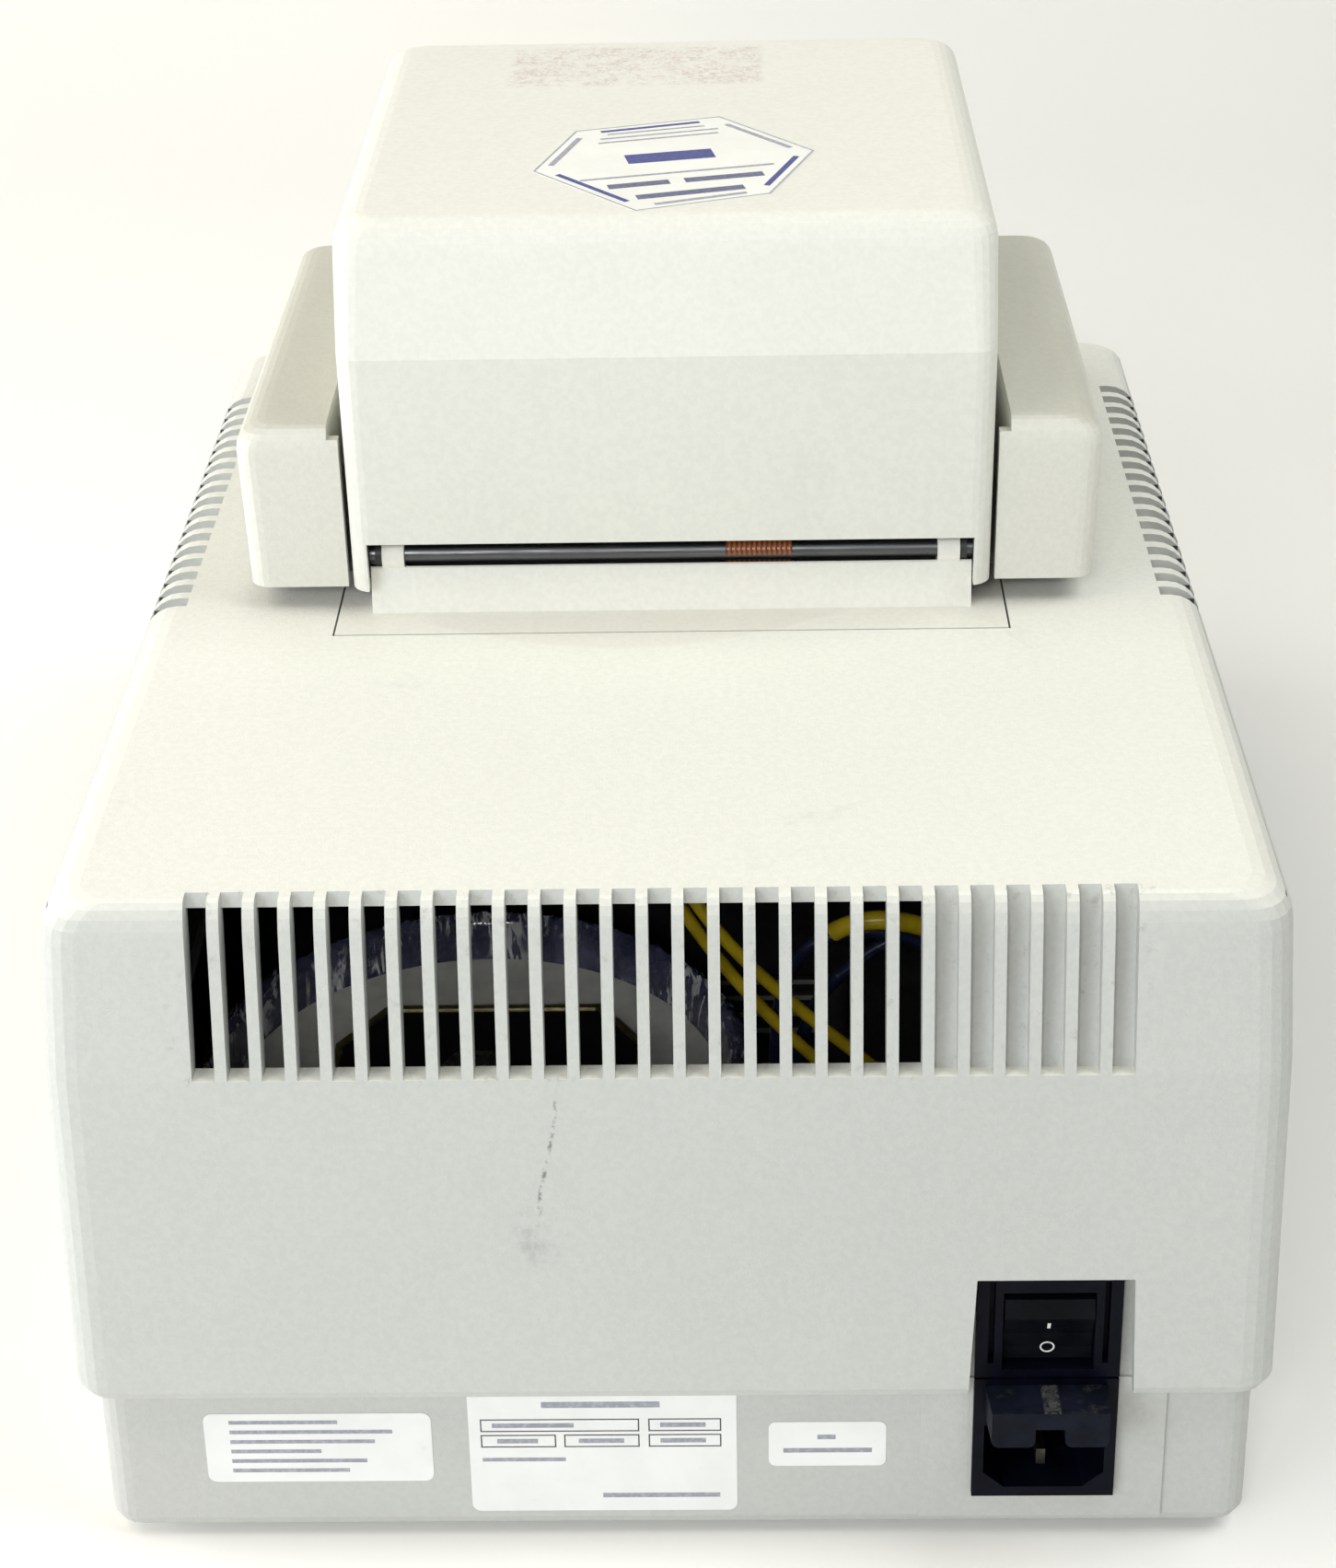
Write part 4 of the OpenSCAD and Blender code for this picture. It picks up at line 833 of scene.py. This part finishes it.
def add_transformer(looks):
    """The ring of wound copper under overlapping turns of glossy film."""
    turns = 64
    steps_a_turn = 6
    steps_round = turns * steps_a_turn
    middle = Vector((44, 28.5))
    film_lean = 0.0016
    section = [(29, 0), (56, 0), (63.5, 3.5), (67, 12), (66.6, 26), (66.3, 40), (66.3, 58), (65.8, 66),
               (64, 70), (61.8, 71.2), (59.8, 69.6), (58.6, 64), (58.2, 57), (40, 57), (29, 56.9), (23, 54),
               (20.2, 47), (20, 30), (20.2, 10), (23, 3)]
    dense = []
    for i in range(len(section)):
        a, b = Vector(section[i]), Vector(section[(i + 1) % len(section)])
        dense += [a, a.lerp(b, 0.5)]
    verts = []
    n = len(dense)
    for i in range(steps_round):
        angle = 2 * math.pi * i / steps_round
        phase = (i % steps_a_turn) / steps_a_turn
        for k, p in enumerate(dense):
            ridge = 0.55 * phase + 0.35 * math.sin(3.1 * k + 0.9 * i) * math.sin(0.37 * i + k)
            crease = random.uniform(-0.22, 0.22)
            shrink = 0.9 - ridge * 0.8 + crease
            outward = (p - middle).normalized()
            r = p[0] - outward[0] * shrink
            z = COIL_FOOT_Z + p[1] - outward[1] * shrink
            skew = angle + (p[1] - middle[1]) * film_lean
            verts.append((COIL_CENTRE[0] + r * math.cos(skew), COIL_CENTRE[1] + r * math.sin(skew), z))
    faces = []
    for i in range(steps_round):
        j = (i + 1) % steps_round
        for k in range(n):
            m = (k + 1) % n
            faces.append([i * n + k, j * n + k, j * n + m, i * n + m])
    ringed = add_mesh("film_wound_coil", verts, faces, looks["film"], "housing", smooth=55)
    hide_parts("transformer_coil")


def add_plate_rim(looks):
    """Thin brass rim round the transformer's black plate."""
    shape = [(-26, -35), (26, -35), (37, -19), (37, 19), (26, 35), (-26, 35), (-37, 19), (-37, -19)]
    cx, cy = COIL_CENTRE[0] - 2, COIL_CENTRE[1]
    place = lambda x, y, out: (cx + x, cy + y, COIL_PLATE_TOP_Z - 0.05 + out)
    inner = 0.955
    rim = []
    for a, b in zip(shape, shape[1:] + shape[:1]):
        rim.append([a, b, (b[0] * inner, b[1] * inner), (a[0] * inner, a[1] * inner)])
    add_plates("coil_plate_rim", rim, 0.5, place, looks["brass"], "housing")


def earth_path(terminal, rise, x, y):
    """From an inlet terminal up past the grille, then forward to the heat sink."""
    top = (x, y, 142)
    climb = bezier((terminal, 156, 63), (x - 36, 146, rise), (x - 12, y, 116), top)
    return climb + bezier(top, (x + 3, y, 149), (x + 8, 60, 112), (x + 8, 20.4, 112))[1:]


def mains_path(terminal, crest, over, foot):
    """From an inlet terminal over a crest and down to the foot; crest and over hold curve points."""
    return bezier(terminal, *crest) + bezier(crest[-1], *over, foot)[1:]


def add_wires(looks):
    earth = [
        (earth_path(-73.5, 80, 2, 150), 1.5),
        (earth_path(-78.5, 94, -3, 153.4), 1.5),
        (bezier((-36, 152, 127), (-44, 155, 134), (-52, 155, 132), (-62, 150, 124)), 2.2),
    ]
    mains = [
        (mains_path((-83.5, 156, 60), ((-84, 140, 96), (-60, 144, 130), (-34, 144, 120)),
                    ((-20, 144, 114), (-24, 140, 80)), (-24, 138, 40)), 1.6),
        (mains_path((-88.5, 156, 61.5), ((-86, 132, 110), (-58, 136, 128), (-40, 138, 108)),
                    ((-27, 138, 98), (-27, 133, 70)), (-27, 131, 36)), 1.6),
        (bezier((-88.5, 156, 57), (-91, 142, 58), (-84, 130, 50), (-84, 126, 21)), 1.6),
    ]
    for kind, wires, look in (("earth", earth, "yellow"), ("mains", mains, "navy")):
        for i, (path, radius) in enumerate(wires):
            tube = add_tube(f"{kind}_wire_{i + 1}", path, radius * 0.97, looks[look], "housing")
            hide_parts(kind + "_wires")


def add_pressure_springs(looks):
    """Four wound springs on the guide pins, built at one fixed length."""
    low, high = 169.6, 189.8
    coils = 6
    steps_a_coil = 24
    radius = 4.5
    wire = 0.55
    for i, (x, y) in enumerate(((48, 28), (-48, 28), (48, -28), (-48, -28))):
        path = []
        for k in range(coils * steps_a_coil + 1):
            a = 2 * math.pi * k / steps_a_coil
            t = k / (coils * steps_a_coil)
            eased = t + 0.03 * math.sin(2 * math.pi * t)
            z = low + wire + (high - low - 2 * wire) * eased
            path.append((x + radius * math.cos(a), BLOCK_Y + y + radius * math.sin(a), z))
        coil = add_tube(f"pressure_spring_{i + 1}", path, wire, looks["spring"], "lid", sides=8)
        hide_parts("pressure_springs")
        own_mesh(coil)


# ---------------------------------------------------------------- setting

def studio():
    """Pale floor that curves up into a backdrop, with painted shade that darkens it towards the machine's
    left.
    """
    s = Shader("floor_look")
    painted_lit_side = s.mix(s.band(s.noise(1.6, 4), 0.3, 0.7), (0.97, 0.955, 0.92), (0.94, 0.925, 0.90))
    painted_shade_side = s.mix(s.band(s.noise(1.6, 4), 0.3, 0.7), (0.86, 0.855, 0.835), (0.82, 0.815, 0.80))
    # painted shade: the floor's tone runs from the light side to a darker side along X
    tone = s.mix(s.band(s.axis("X"), -0.24, 0.20), painted_shade_side, painted_lit_side)
    s.set(Base_Color=tone, Roughness=0.55, Normal=s.bump(s.noise(300, 4), 0.00005))

    verts = []
    profile = [(6.0, 0.0), (-0.75, 0.0)]
    for i in range(1, 13):
        a = math.radians(90 * i / 12)
        profile.append((-0.75 - 0.7 * math.sin(a), 0.7 - 0.7 * math.cos(a)))
    profile.append((-1.45, 2.6))
    for y, z in profile:
        verts += [(-2600, y * 1000, z * 1000), (2600, y * 1000, z * 1000)]
    faces = [[2 * i, 2 * i + 1, 2 * i + 3, 2 * i + 2] for i in range(len(profile) - 1)]
    mesh = bpy.data.meshes.new("studio_sweep")
    mesh.from_pydata([Vector(v) * MM for v in verts], [], faces)
    mesh.materials.append(s.material)
    sweep = bpy.data.objects.new("studio_sweep", mesh)
    bpy.context.scene.collection.objects.link(sweep)
    smooth_by_angle(sweep, 40)


def area_light(name, place, target, size, power, colour=(1, 1, 1)):
    data = bpy.data.lights.new(name, "AREA")
    data.shape = "RECTANGLE"
    data.size, data.size_y = size
    data.energy = power
    data.color = colour
    obj = bpy.data.objects.new(name, data)
    bpy.context.scene.collection.objects.link(obj)
    obj.location = place
    obj.rotation_euler = (Vector(target) - Vector(place)).to_track_quat("-Z", "Y").to_euler()


def lights():
    """Large soft lamps, with left and right as the camera sees them, and a small one by the camera."""
    world = bpy.data.worlds.new("studio_world")
    world.use_nodes = True
    background = world.node_tree.nodes["Background"]
    background.inputs["Color"].default_value = (0.93, 0.96, 1.0, 1)
    background.inputs["Strength"].default_value = 0.05
    bpy.context.scene.world = world
    area_light("back_left", (1.5, 1.8, 1.0), (0, 0.05, 0.1), (1.2, 1.2), 25, (0.88, 0.94, 1.0))
    area_light("top_left", (1.2, 0.2, 1.8), (0, 0, 0.1), (1.4, 1.4), 17, (1.0, 0.94, 0.80))
    area_light("top_right", (-1.2, 0.2, 1.8), (0, 0, 0.1), (1.4, 1.4), 26, (0.98, 1.0, 0.96))
    area_light("side_left", (2.0, -0.2, 0.35), (0.13, 0.0, 0.1), (1.0, 0.6), 21)
    area_light("near_camera", (0.12, 0.99, 0.68), (0.03, 0.19, 0.13), (0.25, 0.18), 3.1, (1.0, 0.98, 0.94))


def camera():
    """The viewpoint is behind the machine, above it and a little to its right."""
    data = bpy.data.cameras.new("view")
    data.sensor_fit = "AUTO"
    data.sensor_width = 36
    data.lens = 67.6
    data.clip_start = 0.02
    obj = bpy.data.objects.new("view", data)
    bpy.context.scene.collection.objects.link(obj)
    yaw, pitch, roll = math.radians(-1.46), math.radians(30.0), math.radians(1.33)
    ahead = Vector((-math.sin(yaw) * math.cos(pitch), -math.cos(yaw) * math.cos(pitch), -math.sin(pitch)))
    right = Vector((-math.cos(yaw), math.sin(yaw), 0))
    down = ahead.cross(right)
    tilted_right = math.cos(roll) * right + math.sin(roll) * down
    tilted_down = -math.sin(roll) * right + math.cos(roll) * down
    turn = Matrix((tilted_right, -tilted_down, -ahead)).transposed()
    obj.matrix_world = Matrix.Translation((-0.01446, 0.6910, 0.4759)) @ turn.to_4x4()
    bpy.context.scene.camera = obj


# ---------------------------------------------------------------- assembly

looks = make_materials()
dress_cad_nodes(looks)
add_labels(looks)
add_hood_sticker(looks)
add_switch_marks(looks)
add_control_graphics(looks)
add_transformer(looks)
add_plate_rim(looks)
add_wires(looks)
add_pressure_springs(looks)
studio()
lights()
camera()
bpy.context.scene.view_settings.view_transform = "Standard"
